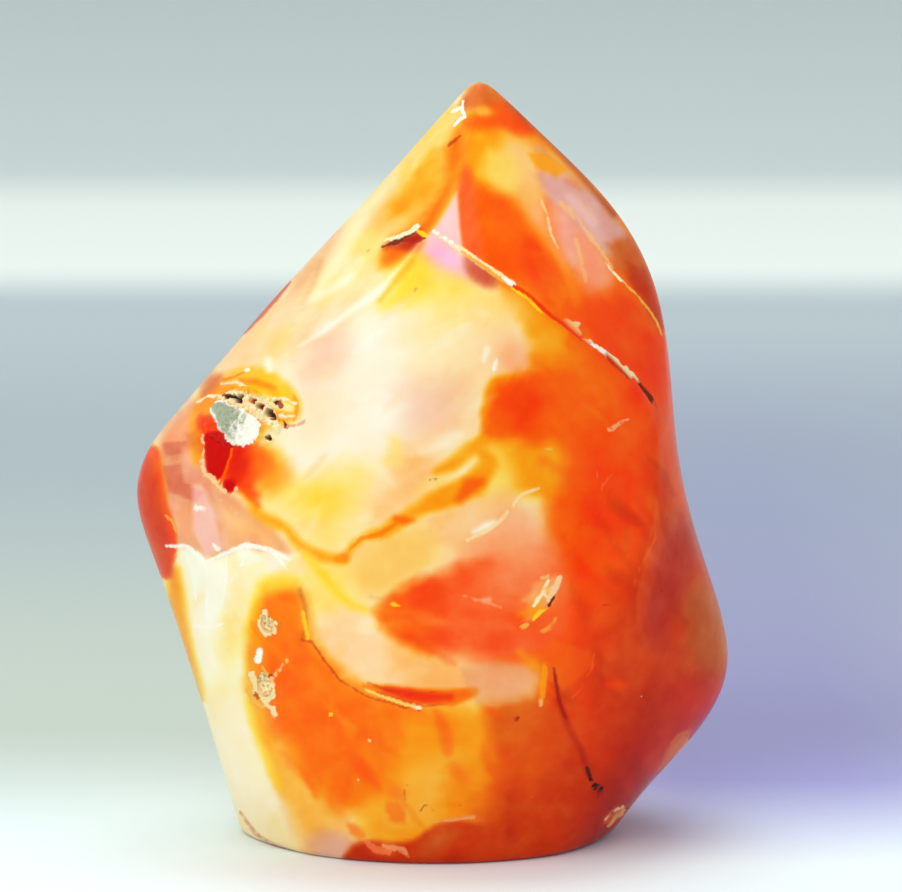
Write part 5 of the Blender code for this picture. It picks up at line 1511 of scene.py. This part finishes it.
    def dress(self, obj: bpy.types.Object, painter: MarkingPainter, outside: BVHTree,
              frames: list[Matrix]) -> None:
        """Raises the markings' relief and keeps their colours and dullness on the mesh.

        Args:
            obj: The cut stone, changed in place.
            painter: What lays the markings.
            outside: The stone's outside without its hollows.
            frames: The frames of the pocket and the bites.
        """
        mesh = obj.data
        points, normals = mesh_arrays(mesh)
        paint = painter.paint(points, normals)
        self.darken_hollows(points, paint, outside, frames)
        points += normals * (np.clip(paint.relief, *self.relief_limits) * MM)[:, None]
        points = np.clip(points, np.array(cad_low), np.array(cad_high))
        mesh.vertices.foreach_set("co", points.ravel())
        for name, values in (("stone_colour", paint.colour), ("mark_colour", paint.mark_colour)):
            layer = mesh.attributes.new(name, "FLOAT_COLOR", "POINT")
            layer.data.foreach_set("color", np.concatenate((values, np.ones((len(points), 1))), 1).ravel())
        for name, values in (("mark_depth", paint.mark_depth), ("mark_cover", paint.mark_cover),
                             ("dullness", paint.dull)):
            mesh.attributes.new(name, "FLOAT", "POINT").data.foreach_set("value", values)
        mesh.update()

    def build(self) -> tuple[bpy.types.Object, BVHTree, Matrix]:
        """Makes the whole stone.

        Returns:
            The finished piece, its outside without the hollows, and its pocket's frame.
        """
        painter = MarkingPainter()
        obj, move = self.make_body(painter)
        outside, pocket_frame, frames = self.cut_hollows(obj, move)
        self.dress(obj, painter, outside, [pocket_frame, *frames])
        activate(obj)
        bpy.ops.object.shade_smooth_by_angle(angle=self.sharp_angle)
        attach(obj, BODY)
        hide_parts("flame_stone")
        report(obj)
        return obj, outside, pocket_frame


@dataclass
class QuartzDruse:
    """The pocket's lining: a pale quartz plate in front, small points above it and dark gaps between.

    Sizes are in millimetres, in the pocket's own frame: X along it, Y across it and Z out of the face.
    """

    radii: tuple[float, float, float] = (7.6, 4.3, 3.5)
    step: float = 0.085
    skin_depth: float = 0.02
    overlap: float = 1.07
    rim_thickness: float = 0.3
    floor_share: float = 0.985
    ray_start: float = 8.0
    missed: float = -9.0
    sharp_angle: float = math.radians(28)
    # The uneven surface: lumps to a millimetre, how high they stand and how much they tint
    lumps: float = 1.3
    lump_height: float = 0.14
    lump_tint: tuple[float, float] = (0.92, 0.16)
    # The crumbs between the crystals, to a millimetre along and across, and their depth
    crumbs: tuple[float, float] = (1.6, 2.6)
    crumb_depth: float = 0.25
    bed_level: float = -0.4
    bed_share: float = 0.4
    strip: Outline = ((-7.4, 0.8), (-6.4, 2.4), (-3.0, 3.2), (1.0, 3.6), (4.6, 3.2), (6.8, 1.6), (6.9, 0.6),
                      (3.0, 0.9), (-1.4, 1.2), (-4.7, 1.3))
    strip_fray: float = 0.3
    strip_fade: tuple[float, float] = (-0.25, 0.3)
    strip_cover: float = 0.9
    plate: Outline = ((-7.2, -0.4), (-6.7, 0.6), (-4.75, 1.5), (-3.2, 1.2), (-1.4, 1.35), (1.8, 1.1),
                      (3.8, 0.7), (4.5, -0.9), (4.0, -2.6), (2.4, -3.6), (0.6, -3.5), (-1.6, -3.0),
                      (-3.0, -2.1), (-4.1, -1.3), (-5.7, -0.95))
    plate_level: float = 0.05
    plate_fray: float = 0.32
    plate_rough: float = 0.2
    plate_edge: tuple[float, float] = (0.0, 0.4)
    plate_edge_drop: float = 0.3
    # The plate's facets to a millimetre and their depth
    facets: float = 1.15
    facet_depth: float = 0.22
    # Where the plate turns pale, across and at its rim, and how far lumps and facets move that
    pale_across: tuple[float, float] = (-0.6, 2.6)
    pale_moves: tuple[float, float] = (2.2, 1.4)
    pale_rim: tuple[float, float] = (0.12, 0.5)
    # The brown seams in the plate
    seams: float = 1.7
    seam_middle: float = 0.08
    seam_width: tuple[float, float] = (0.02, 0.12)
    seam_rim: tuple[float, float] = (0.2, 0.6)
    seam_cover: float = 0.6
    seam_in_pale: float = 0.75
    seam_shade: float = 0.45
    # The dark gaps between the crystals: middle, half length, half height, depth and tone
    gaps: tuple[tuple[float, float, float, float, float, Tone], ...] = (
        (-5.4, 2.0, 0.55, 0.3, 0.8, Tone.SIENNA), (-4.1, 2.05, 0.7, 0.42, 1.3, Tone.UMBER),
        (-2.7, 2.25, 0.5, 0.45, 1.2, Tone.SOOT), (-1.45, 2.35, 0.7, 0.62, 1.3, Tone.UMBER),
        (0.75, 2.85, 0.62, 0.34, 0.8, Tone.RUST), (2.5, 2.55, 0.62, 0.42, 1.0, Tone.GARNET),
        (4.3, 2.35, 0.8, 0.5, 1.3, Tone.UMBER), (5.4, 1.9, 0.5, 0.42, 1.1, Tone.GARNET),
        (6.3, -0.9, 0.5, 0.36, 1.1, Tone.UMBER),
    )
    gap_fray: float = 0.55
    gap_fade: tuple[float, float] = (0.75, 1.2)
    gap_cover: float = 0.96
    # The crystal points: size, flat top as a share of the width, slopes of the tip and the sides
    point_count: int = 70
    point_width: tuple[float, float] = (0.3, 0.8)
    point_height: tuple[float, float] = (-0.4, -0.1)
    point_lean: float = 0.5
    point_flat: float = 0.15
    point_slope: float = 0.9
    point_side: float = 6.0
    point_whitening: float = 0.5
    point_insets: tuple[float, float] = (-0.1, -0.3)
    seed: int = 5

    def make_points(self) -> list[tuple[np.ndarray, float, float, float, np.ndarray]]:
        """The small crystals along the strip: middle, width, height, turn and lean.

        Returns:
            One row for each crystal.
        """
        draw = random.Random(self.seed)
        plate, strip = np.array(self.plate), np.array(self.strip)
        points = []
        while len(points) < self.point_count:
            middle = np.array((draw.uniform(-1, 1) * self.radii[0], draw.uniform(-1, 1) * self.radii[1]))
            on_plate, in_strip = (depth_in_outline(middle[None], edge)[0] for edge in (plate, strip))
            if on_plate > self.point_insets[0] or in_strip < self.point_insets[1]:
                continue
            lean = np.array([draw.uniform(-self.point_lean, self.point_lean) for _ in range(2)])
            points.append((middle, draw.uniform(*self.point_width), draw.uniform(*self.point_height),
                           draw.uniform(0, math.pi / 3), lean))
        return points

    def lay_bed(self, across: np.ndarray, around: np.ndarray,
                rough: np.ndarray) -> tuple[np.ndarray, np.ndarray]:
        """The bed that the crystals stand on, as heights and colours: cream along the strip.

        Args:
            across: The places, as rows of (x, y).
            around: The stone's own colours there.
            rough: The unevenness there.

        Returns:
            The heights and the linear colours.
        """
        scale = self.crumbs
        cells = [noise.voronoi(Vector((x * scale[0], y * scale[1], 0.9)))[0][0] for x, y in across]
        depth = depth_in_outline(across, rounded(self.strip, 1))
        in_strip = ease(*self.strip_fade, depth + rough * self.strip_fray)
        height = self.bed_level * (self.bed_share + (1 - self.bed_share) * in_strip)
        height = height + rough * self.lump_height - self.crumb_depth * np.array(cells) * in_strip
        plain, tint = self.lump_tint
        cream = blend(linear(Tone.CREAM), linear(Tone.IVORY), np.clip(rough + 0.5, 0, 1))
        return height, blend(around * (plain + tint * rough[:, None]), cream, in_strip * self.strip_cover)

    def raise_points(self, across: np.ndarray, height: np.ndarray,
                     colour: np.ndarray) -> tuple[np.ndarray, np.ndarray]:
        """The heights and colours with the six-sided crystal points standing up.

        Args:
            across: The places, as rows of (x, y).
            height: The heights so far.
            colour: The colours so far.

        Returns:
            The new heights and colours.
        """
        for middle, width, top, turn, lean in self.make_points():
            ray = across - middle
            turns = [turn + k * math.pi / 3 for k in range(3)]
            away = np.max([np.abs(ray @ np.array((math.cos(a), math.sin(a)))) for a in turns], axis=0)
            peak = top + ray @ lean - np.maximum(away - width * self.point_flat, 0) * self.point_slope
            peak -= np.maximum(away - width / 2, 0) * self.point_side
            higher = peak > height
            height = np.where(higher, peak, height)
            shade = blend(linear(Tone.HONEY), linear(Tone.IVORY), ease(top - self.point_whitening, top, peak))
            colour = np.where(higher[:, None], shade, colour)
        return height, colour

    def sink_gaps(self, across: np.ndarray, rough: np.ndarray, height: np.ndarray,
                  colour: np.ndarray) -> tuple[np.ndarray, np.ndarray]:
        """The heights and colours with the dark gaps sunk in.

        Args:
            across: The places, as rows of (x, y).
            rough: The unevenness there.
            height: The heights so far.
            colour: The colours so far.

        Returns:
            The new heights and colours.
        """
        for x, y, half_length, half_height, depth, tone in self.gaps:
            reach = np.hypot((across[:, 0] - x) / half_length, (across[:, 1] - y) / half_height)
            inside = 1 - ease(*self.gap_fade, reach + rough * self.gap_fray)
            height = height - depth * inside
            colour = blend(colour, linear(tone), inside * self.gap_cover)
        return height, colour

    def lay_plate(self, across: np.ndarray, rough: np.ndarray, height: np.ndarray,
                  colour: np.ndarray) -> tuple[np.ndarray, np.ndarray]:
        """The heights and colours with the pale plate laid over them.

        Args:
            across: The places, as rows of (x, y).
            rough: The unevenness there.
            height: The heights so far.
            colour: The colours so far.

        Returns:
            The new heights and colours.
        """
        facets = np.array([noise.voronoi(Vector((*p, 0.3)) * self.facets)[0][0] for p in across])
        inside = depth_in_outline(across, rounded(self.plate, 1)) + rough * self.plate_fray
        plate = self.plate_level - self.plate_edge_drop * (1 - ease(*self.plate_edge, inside))
        plate = plate - self.facet_depth * facets + self.plate_rough * rough
        by_lumps, by_facets = self.pale_moves
        pale = ease(*self.pale_across, across[:, 0] + rough * by_lumps + facets * by_facets)
        pale = np.maximum(pale, 1 - ease(*self.pale_rim, inside))
        grain = np.array([noise.fractal(Vector((*p, 4.0)) * self.seams, 0.8, 2.0, 4) for p in across])
        seams = 1 - ease(*self.seam_width, np.abs(grain - self.seam_middle))
        seams *= self.seam_cover * ease(*self.seam_rim, inside) * (1 - self.seam_in_pale * pale)
        shade = blend(linear(Tone.LICHEN), linear(Tone.WHITE), pale)
        shade = blend(shade, linear(Tone.CLAY) * self.seam_shade, seams)
        higher = inside > 0
        return np.where(higher, plate, height), np.where(higher[:, None], shade, colour)

    def surface(self, across: np.ndarray, around: np.ndarray) -> tuple[np.ndarray, np.ndarray]:
        """The lining's height and colour.

        Args:
            across: The places, as rows of (x, y).
            around: The linear colours that the stone's own clouds give there.

        Returns:
            The heights, and the linear colours.
        """
        rough = np.array([noise.fractal(Vector((*p, 0.0)) * self.lumps, 1.0, 2.0, 4) for p in across])
        height, colour = self.lay_bed(across, around, rough)
        height, colour = self.raise_points(across, height, colour)
        height, colour = self.sink_gaps(across, rough, height, colour)
        return self.lay_plate(across, rough, height, colour)

    def build(self, outside: BVHTree, pocket_frame: Matrix, painter: MarkingPainter) -> bpy.types.Object:
        """Makes the lining as a closed shell that stays below the stone's own face.

        Args:
            outside: The stone's outside without its hollows.
            pocket_frame: The pocket's frame on that outside.
            painter: What lays the stone's colours on.

        Returns:
            The finished piece.
        """
        wide, tall = (int(2 * r / self.step) + 1 for r in self.radii[:2])
        x, y = np.meshgrid(*(np.linspace(-self.overlap, self.overlap, count) * radius
                             for count, radius in zip((wide, tall), self.radii)))
        across = np.stack((x.ravel(), y.ravel()), 1)
        straight = pocket_frame.to_3x3() @ Vector((0, 0, -1))
        face = np.full(len(across), self.missed)
        for k, (px, py) in enumerate(across):
            start = pocket_frame @ Vector((px * MM, py * MM, self.ray_start * MM))
            hit = outside.ray_cast(start, straight)[0]
            if hit:
                face[k] = (pocket_frame.inverted() @ hit).z / MM
        on_face = np.array([pocket_frame @ Vector((*p, z)) for p, z in zip(across * MM, face * MM)])
        outwards = np.tile(np.array(-straight), (len(across), 1))
        height, colour = self.surface(across, painter.paint(on_face, outwards).colour)
        reach = (across[:, 0] / self.radii[0]) ** 2 + (across[:, 1] / self.radii[1]) ** 2
        height = np.minimum(height, face - self.skin_depth)
        floor = -self.radii[2] * np.sqrt(np.clip(1 - reach, 0, 1)) * self.floor_share
        floor = np.minimum(floor, height - self.rim_thickness)
        keep = (reach < self.overlap**2).reshape(tall, wide)
        shape = bmesh.new()
        layer = shape.verts.layers.float_color.new("druse_colour")
        sheets = []
        for level in (height, floor):
            sheet = []
            for k in range(len(across)):
                vert = shape.verts.new((across[k, 0] * MM, across[k, 1] * MM, level[k] * MM))
                vert[layer] = (*colour[k], 1.0)
                sheet.append(vert)
            sheets.append(sheet)
        top, bottom = sheets
        inside = keep[:-1, :-1] & keep[1:, :-1] & keep[:-1, 1:] & keep[1:, 1:]
        for i, j in zip(*np.nonzero(inside)):
            a, b, c, d = (i * wide + j, i * wide + j + 1, (i + 1) * wide + j + 1, (i + 1) * wide + j)
            shape.faces.new((top[a], top[b], top[c], top[d]))
            shape.faces.new((bottom[d], bottom[c], bottom[b], bottom[a]))
            walls = (((a, b), (i - 1, j)), ((b, c), (i, j + 1)), ((c, d), (i + 1, j)), ((d, a), (i, j - 1)))
            for (p, q), (u, v) in walls:
                outer = not (0 <= u < inside.shape[0] and 0 <= v < inside.shape[1] and inside[u, v])
                if outer:
                    shape.faces.new((top[q], top[p], bottom[p], bottom[q]))
        bmesh.ops.delete(shape, geom=[v for v in shape.verts if not v.link_faces], context="VERTS")
        mesh = bpy.data.meshes.new("quartz_druse")
        shape.to_mesh(mesh)
        shape.free()
        mesh.transform(pocket_frame)
        obj = bpy.data.objects.new("quartz_druse", mesh)
        bpy.context.scene.collection.objects.link(obj)
        activate(obj)
        bpy.ops.object.shade_smooth_by_angle(angle=self.sharp_angle)
        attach(obj, BODY)
        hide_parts("quartz_crust")
        report(obj)
        return obj


def mesh_arrays(mesh: bpy.types.Mesh) -> tuple[np.ndarray, np.ndarray]:
    """The mesh's corners and their normals, as arrays of rows.

    Args:
        mesh: The mesh to read.

    Returns:
        The corners in metres, and the normals.
    """
    points = np.empty(len(mesh.vertices) * 3, np.float32)
    normals = np.empty(len(mesh.vertices) * 3, np.float32)
    mesh.vertices.foreach_get("co", points)
    mesh.vertex_normals.foreach_get("vector", normals)
    return points.reshape(-1, 3).astype(float), normals.reshape(-1, 3).astype(float)


def report(obj: bpy.types.Object) -> None:
    """Logs a finished piece."""
    triangles = sum(len(p.vertices) - 2 for p in obj.data.polygons)
    LOG.info("%s: %d triangles, %s mm", obj.name, triangles, [round(d / MM, 1) for d in obj.dimensions])


class NodeBench:
    """Adds and joins nodes in one node tree."""

    def __init__(self, tree: bpy.types.NodeTree) -> None:
        """Keeps the tree, emptied.

        Args:
            tree: The tree to build in.
        """
        self.tree = tree
        tree.nodes.clear()

    def add(self, kind: str, **settings: object) -> bpy.types.Node:
        """Adds a node and sets its properties.

        Args:
            kind: The node's type.
            **settings: Its properties and their values.

        Returns:
            The new node.
        """
        node = self.tree.nodes.new(kind)
        for name, value in settings.items():
            setattr(node, name, value)
        return node

    def join(self, source: bpy.types.NodeSocket, target: bpy.types.NodeSocket) -> None:
        """Joins an output to an input."""
        self.tree.links.new(source, target)

    def noise(self, vector: bpy.types.NodeSocket, size: float, detail: float = 3.0) -> bpy.types.Node:
        """A noise whose lumps are about this many millimetres across.

        Args:
            vector: The place's socket.
            size: The lumps' size in millimetres.
            detail: How many finer layers.

        Returns:
            The new node.
        """
        node = self.add("ShaderNodeTexNoise")
        node.inputs["Scale"].default_value = 1 / (size * MM)
        node.inputs["Detail"].default_value = detail
        self.join(vector, node.inputs["Vector"])
        return node

    def feed(self, value: bpy.types.NodeSocket | float, target: bpy.types.NodeSocket) -> None:
        """Joins a socket to an input, or sets the input to a plain number.

        Args:
            value: The socket or the number.
            target: The input.
        """
        if isinstance(value, (int, float)):
            target.default_value = value
        else:
            self.join(value, target)

    def sum_up(self, operation: str, *values: bpy.types.NodeSocket | float) -> bpy.types.NodeSocket:
        """Works on sockets and plain numbers with one operation, and returns the result's socket.

        Args:
            operation: The math node's operation.
            *values: What it works on, in order.

        Returns:
            The result's socket.
        """
        node = self.add("ShaderNodeMath", operation=operation)
        for value, target in zip(values, node.inputs):
            self.feed(value, target)
        return node.outputs[0]

    def kept(self, name: str, output: str = "Fac") -> bpy.types.NodeSocket:
        """What the mesh keeps under this name."""
        return self.add("ShaderNodeAttribute", attribute_name=name).outputs[output]

    def bump(self, height: bpy.types.NodeSocket, distance: float,
             strength: float = 1.0) -> bpy.types.NodeSocket:
        """A bump of this height.

        Args:
            height: The height's socket.
            distance: How far in metres a height of 1 stands out.
            strength: How much of the bump shows.

        Returns:
            The normal's socket.
        """
        node = self.add("ShaderNodeBump")
        node.inputs["Distance"].default_value = distance
        node.inputs["Strength"].default_value = strength
        self.join(height, node.inputs["Height"])
        return node.outputs["Normal"]

    def mottled(self, place: bpy.types.NodeSocket, colour: bpy.types.NodeSocket,
                strength: float) -> bpy.types.Node:
        """A colour made cloudy, as the group's node with its Color and Height outputs.

        Args:
            place: The place's socket.
            colour: The colour's socket.
            strength: How cloudy.

        Returns:
            The group's node.
        """
        node = self.add("ShaderNodeGroup")
        node.node_tree = mottle_group()
        node.inputs["Strength"].default_value = strength
        self.join(place, node.inputs["Vector"])
        self.join(colour, node.inputs["Color"])
        return node

    def span(self, value: bpy.types.NodeSocket,
             limits: tuple[float, float, float, float]) -> bpy.types.NodeSocket:
        """Stretches a value from the first two limits to the last two, and returns the result's socket.

        Args:
            value: The value's socket.
            limits: From the least and greatest, to the least and greatest.

        Returns:
            The result's socket.
        """
        node = self.add("ShaderNodeMapRange", clamp=True)
        for name, limit in zip(("From Min", "From Max", "To Min", "To Max"), limits):
            node.inputs[name].default_value = limit
        self.join(value, node.inputs["Value"])
        return node.outputs["Result"]


def new_material(name: str) -> tuple[bpy.types.Material, NodeBench, bpy.types.Node]:
    """Starts a material with one principled shader.

    Args:
        name: The material's name.

    Returns:
        The material, its nodes' bench and its shader.
    """
    material = bpy.data.materials.new(name)
    material.use_nodes = True
    bench = NodeBench(material.node_tree)
    out = bench.add("ShaderNodeOutputMaterial")
    shader = bench.add("ShaderNodeBsdfPrincipled")
    bench.join(shader.outputs[0], out.inputs["Surface"])
    return material, bench, shader


def mottle_group() -> bpy.types.NodeTree:
    """The cloudy unevenness inside a mineral, as a group that makes a colour denser and thinner.

    Returns:
        A group with Color, Vector and Strength inputs, and Color and Height outputs.
    """
    name = "mineral_mottle"
    if name in bpy.data.node_groups:
        return bpy.data.node_groups[name]
    tree = bpy.data.node_groups.new(name, "ShaderNodeTree")
    for label, way, kind in (("Color", "INPUT", "Color"), ("Vector", "INPUT", "Vector"),
                             ("Strength", "INPUT", "Float"), ("Color", "OUTPUT", "Color"),
                             ("Height", "OUTPUT", "Float")):
        tree.interface.new_socket(label, in_out=way, socket_type=f"NodeSocket{kind}")
    bench = NodeBench(tree)
    inward = bench.add("NodeGroupInput")
    outward = bench.add("NodeGroupOutput")
    broad = bench.noise(inward.outputs["Vector"], 5.0, 4.0)
    fine = bench.noise(inward.outputs["Vector"], 0.9, 3.0)
    clouds = bench.span(broad.outputs["Fac"], (0.25, 0.75, 0.0, 0.55))
    both = bench.sum_up("MULTIPLY_ADD", fine.outputs["Fac"], 0.45, clouds)
    lift = bench.span(both, (0.15, 0.85, -1.0, 1.0))
    scaled = bench.sum_up("MULTIPLY_ADD", lift, inward.outputs["Strength"], 1.0)
    deepened = bench.add("ShaderNodeGamma")
    bench.join(inward.outputs["Color"], deepened.inputs["Color"])
    bench.join(scaled, deepened.inputs["Gamma"])
    bench.join(deepened.outputs[0], outward.inputs["Color"])
    bench.join(fine.outputs["Fac"], outward.inputs["Height"])
    return tree


@dataclass(frozen=True)
class CarnelianFinish:
    """Polished, slightly see-through chalcedony, coloured by the markings kept on the mesh."""

    roughness: float = 0.15
    dull_roughness: float = 0.5
    mottle: float = 0.11
    fray: float = 0.45
    fray_size: float = 0.5
    subsurface: float = 0.10
    depth: float = 0.0016
    radius: tuple[float, float, float] = (1.0, 0.42, 0.2)
    index: float = 1.54
    gloss: float = 0.07
    grain: float = 0.35
    # Where the rough parts' grain comes in with dullness, and how high it stands
    grain_span: tuple[float, float, float, float] = (0.0, 0.6, 0.01, 1.0)
    grain_height: float = 0.00035
    grain_strength: float = 0.8

    def with_marks(self, bench: NodeBench, place: bpy.types.NodeSocket,
                   clouds: bpy.types.NodeSocket) -> bpy.types.NodeSocket:
        """Lays the fine marks over the clouds, with frayed edges.

        Args:
            bench: The material's nodes.
            place: The place on the stone.
            clouds: The colour below.

        Returns:
            The colour with the marks.
        """
        ragged = bench.noise(place, self.fray_size, 3.0).outputs["Fac"]
        fray = bench.span(ragged, (0.2, 0.8, -self.fray, self.fray))
        depth = bench.sum_up("ADD", bench.kept("mark_depth"), fray)
        share = bench.sum_up("MULTIPLY", bench.span(depth, (-0.7, 0.7, 0.0, 1.0)), bench.kept("mark_cover"))
        mix = bench.add("ShaderNodeMix", data_type="RGBA")
        bench.join(share, mix.inputs["Factor"])
        bench.join(clouds, mix.inputs["A"])
        bench.join(bench.kept("mark_colour", "Color"), mix.inputs["B"])
        return mix.outputs["Result"]

    def build(self) -> bpy.types.Material:
        """Makes the material.

        Returns:
            The material, with the constants set on its shader.
        """
        material, bench, shader = new_material("carnelian_polish")
        place = bench.add("ShaderNodeTexCoord").outputs["Object"]
        dull = bench.kept("dullness")
        marked = self.with_marks(bench, place, bench.kept("stone_colour", "Color"))
        bench.join(bench.mottled(place, marked, self.mottle).outputs["Color"], shader.inputs["Base Color"])
        rough = bench.span(dull, (0.0, 1.0, self.roughness, self.dull_roughness))
        bench.join(rough, shader.inputs["Roughness"])
        grain = bench.noise(place, self.grain, 4.0).outputs["Fac"]
        lift = bench.sum_up("MULTIPLY", grain, bench.span(dull, self.grain_span))
        bench.join(bench.bump(lift, self.grain_height, self.grain_strength), shader.inputs["Normal"])
        shader.inputs["IOR"].default_value = self.index
        shader.inputs["Specular IOR Level"].default_value = self.gloss
        shader.inputs["Subsurface Weight"].default_value = self.subsurface
        shader.inputs["Subsurface Scale"].default_value = self.depth
        shader.inputs["Subsurface Radius"].default_value = self.radius
        return material


@dataclass(frozen=True)
class QuartzFinish:
    """Rough pale quartz, coloured by what is kept on the mesh."""

    roughness: float = 0.34
    mottle: float = 0.18
    gloss: float = 0.12
    grain_height: float = 0.00025

    def build(self) -> bpy.types.Material:
        """Makes the material.

        Returns:
            The material, with the constants set on its shader.
        """
        material, bench, shader = new_material("quartz_druse")
        place = bench.add("ShaderNodeTexCoord").outputs["Object"]
        mottle = bench.mottled(place, bench.kept("druse_colour", "Color"), self.mottle)
        bench.join(mottle.outputs["Color"], shader.inputs["Base Color"])
        bench.join(bench.bump(mottle.outputs["Height"], self.grain_height), shader.inputs["Normal"])
        shader.inputs["Roughness"].default_value = self.roughness
        shader.inputs["Specular IOR Level"].default_value = self.gloss
        return material


@dataclass(frozen=True)
class Lamp:
    """A soft rectangular light aimed at the stone, with its place and sizes in metres."""

    name: str
    place: tuple[float, float, float]
    size: tuple[float, float]
    power: float
    colour: tuple[float, float, float] = (1.0, 1.0, 1.0)
    aim: tuple[float, float, float] = (0.0, 0.0, 0.05)

    def build(self) -> bpy.types.Object:
        """Adds the light.

        Returns:
            The light.
        """
        data = bpy.data.lights.new(self.name, "AREA")
        data.shape = "RECTANGLE"
        data.size, data.size_y = self.size
        data.energy = self.power
        data.color = self.colour
        obj = bpy.data.objects.new(self.name, data)
        obj.location = self.place
        obj.rotation_euler = (Vector(self.aim) - Vector(self.place)).to_track_quat("-Z", "Y").to_euler()
        bpy.context.scene.collection.objects.link(obj)
        return obj


@dataclass
class Studio:
    """The pale sweep that the stone stands on, the soft lights and the surrounding light."""

    half_width: float = 3.0
    front: float = -2.4
    bend_at: float = 1.3
    bend_radius: float = 0.6
    bend_steps: int = 17
    wall_top: float = 2.6
    # The floor lies this much below the stone's base
    drop: float = 0.00002
    roughness: float = 0.9
    gloss: float = 0.1
    # The sweep's tones from front to back: how far back, and the colour there. Over the pale paper's tint
    # they carry painted light and shade: darker from just behind the stone, and a painted bright band about
    # 0.6 m back
    tones: tuple[tuple[float, tuple[float, float, float]], ...] = (
        (-0.13, (0.91, 1.0, 1.0)), (-0.02, (0.90, 1.0, 1.0)), (0.07, (0.56, 0.62, 0.54)),
        (0.30, (0.44, 0.50, 0.51)), (0.48, (0.52, 0.59, 0.61)), (0.55, (0.93, 0.97, 0.90)),
        (0.64, (0.93, 0.97, 0.90)), (0.73, (0.68, 0.75, 0.72)), (1.17, (0.72, 0.79, 0.76)),
        (1.6, (0.80, 0.84, 0.82)),
    )
    # The painted lavender shadow of the stone on the floor to the right: its tint, where it comes in and goes
    # out across, and from front to back
    shadow_tint: tuple[float, float, float] = (0.61, 0.53, 1.0)
    shadow_across: tuple[float, float, float, float] = (-0.005, 0.035, 0.06, 0.17)
    shadow_back: tuple[float, float, float, float] = (-0.02, 0.03, 0.08, 0.45)
    surround: tuple[float, float, float] = (0.90, 0.94, 1.0)
    surround_strength: float = 0.54
    lamps: tuple[Lamp, ...] = (
        Lamp("key_light", (-0.70, -0.90, 0.95), (1.5, 1.5), 10.9, (1.0, 0.99, 0.97)),
        Lamp("right_fill", (1.05, -0.30, 0.55), (1.2, 1.2), 1.6, (0.92, 0.84, 0.90)),
        Lamp("top_light", (0.0, 0.25, 1.1), (0.9, 0.5), 5.0, (0.90, 1.0, 1.0)),
    )

    def make_sweep(self) -> bpy.types.Object:
        """Adds the floor, which curves up into a wall behind the stone.

        Returns:
            The sweep.
        """
        turns = np.linspace(0.0, math.pi / 2, self.bend_steps)
        radius = self.bend_radius
        profile = [(self.front, 0.0)]
        profile += [(self.bend_at + radius * math.sin(a), radius * (1 - math.cos(a))) for a in turns]
        profile.append((self.bend_at + radius, self.wall_top))
        sides = (-self.half_width, self.half_width)
        corners = [(side, y, z - self.drop) for y, z in profile for side in sides]
        faces = [(2 * i, 2 * i + 1, 2 * i + 3, 2 * i + 2) for i in range(len(profile) - 1)]
        mesh = bpy.data.meshes.new("studio_sweep")
        mesh.from_pydata(corners, [], faces)
        obj = bpy.data.objects.new("studio_sweep", mesh)
        bpy.context.scene.collection.objects.link(obj)
        activate(obj)
        bpy.ops.object.shade_smooth()
        mesh.materials.append(self.sweep_material())
        return obj

    def sweep_material(self) -> bpy.types.Material:
        """A matt pale surface whose tone changes softly from front to back, with painted light and shade in
        it and a painted lavender shadow to the right of the stone.

        Returns:
            The material.
        """
        material, bench, shader = new_material("matt_paper")
        parts = bench.add("ShaderNodeSeparateXYZ")
        bench.join(bench.add("ShaderNodeTexCoord").outputs["Object"], parts.inputs[0])
        near, far = self.tones[0][0], self.tones[-1][0]
        ramp = bench.add("ShaderNodeValToRGB")
        ramp.color_ramp.interpolation = "EASE"
        while len(ramp.color_ramp.elements) < len(self.tones):
            ramp.color_ramp.elements.new(1.0)
        for element, (place, tone) in zip(ramp.color_ramp.elements, self.tones):
            element.position = (place - near) / (far - near)
            element.color = (*tone, 1)
        bench.join(bench.span(parts.outputs["Y"], (near, far, 0.0, 1.0)), ramp.inputs["Fac"])
        # Painted shadow: the floor turns lavender to the right of the stone, fading out across and back
        amount = 1.0
        for axis, (start, full, end, gone) in (("X", self.shadow_across), ("Y", self.shadow_back)):
            for limits in ((start, full, 0.0, 1.0), (end, gone, 1.0, 0.0)):
                amount = bench.sum_up("MULTIPLY", bench.span(parts.outputs[axis], limits), amount)
        cast = bench.add("ShaderNodeMix", data_type="RGBA", blend_type="MULTIPLY")
        bench.join(amount, cast.inputs["Factor"])
        bench.join(ramp.outputs["Color"], cast.inputs["A"])
        cast.inputs["B"].default_value = (*self.shadow_tint, 1)
        bench.join(cast.outputs["Result"], shader.inputs["Base Color"])
        shader.inputs["Roughness"].default_value = self.roughness
        shader.inputs["Specular IOR Level"].default_value = self.gloss
        return material

    def build(self) -> None:
        """Adds the sweep, the lights and the surrounding light."""
        self.make_sweep()
        for lamp in self.lamps:
            lamp.build()
        world = bpy.data.worlds.new("pale_surround")
        world.use_nodes = True
        background = world.node_tree.nodes["Background"]
        background.inputs["Color"].default_value = (*self.surround, 1)
        background.inputs["Strength"].default_value = self.surround_strength
        bpy.context.scene.world = world
        bpy.context.scene.view_settings.view_transform = "Standard"


def main() -> None:
    """Builds the stone, its crust and the studio."""
    logging.basicConfig(level=logging.INFO, format="%(name)s: %(message)s")
    stone, outside, pocket_frame = FlameStone().build()
    stone.data.materials.clear()
    stone.data.materials.append(CarnelianFinish().build())
    druse = QuartzDruse().build(outside, pocket_frame, MarkingPainter())
    druse.data.materials.append(QuartzFinish().build())
    Studio().build()
    FrontView().make_camera()


if __name__ == "__main__":
    main()
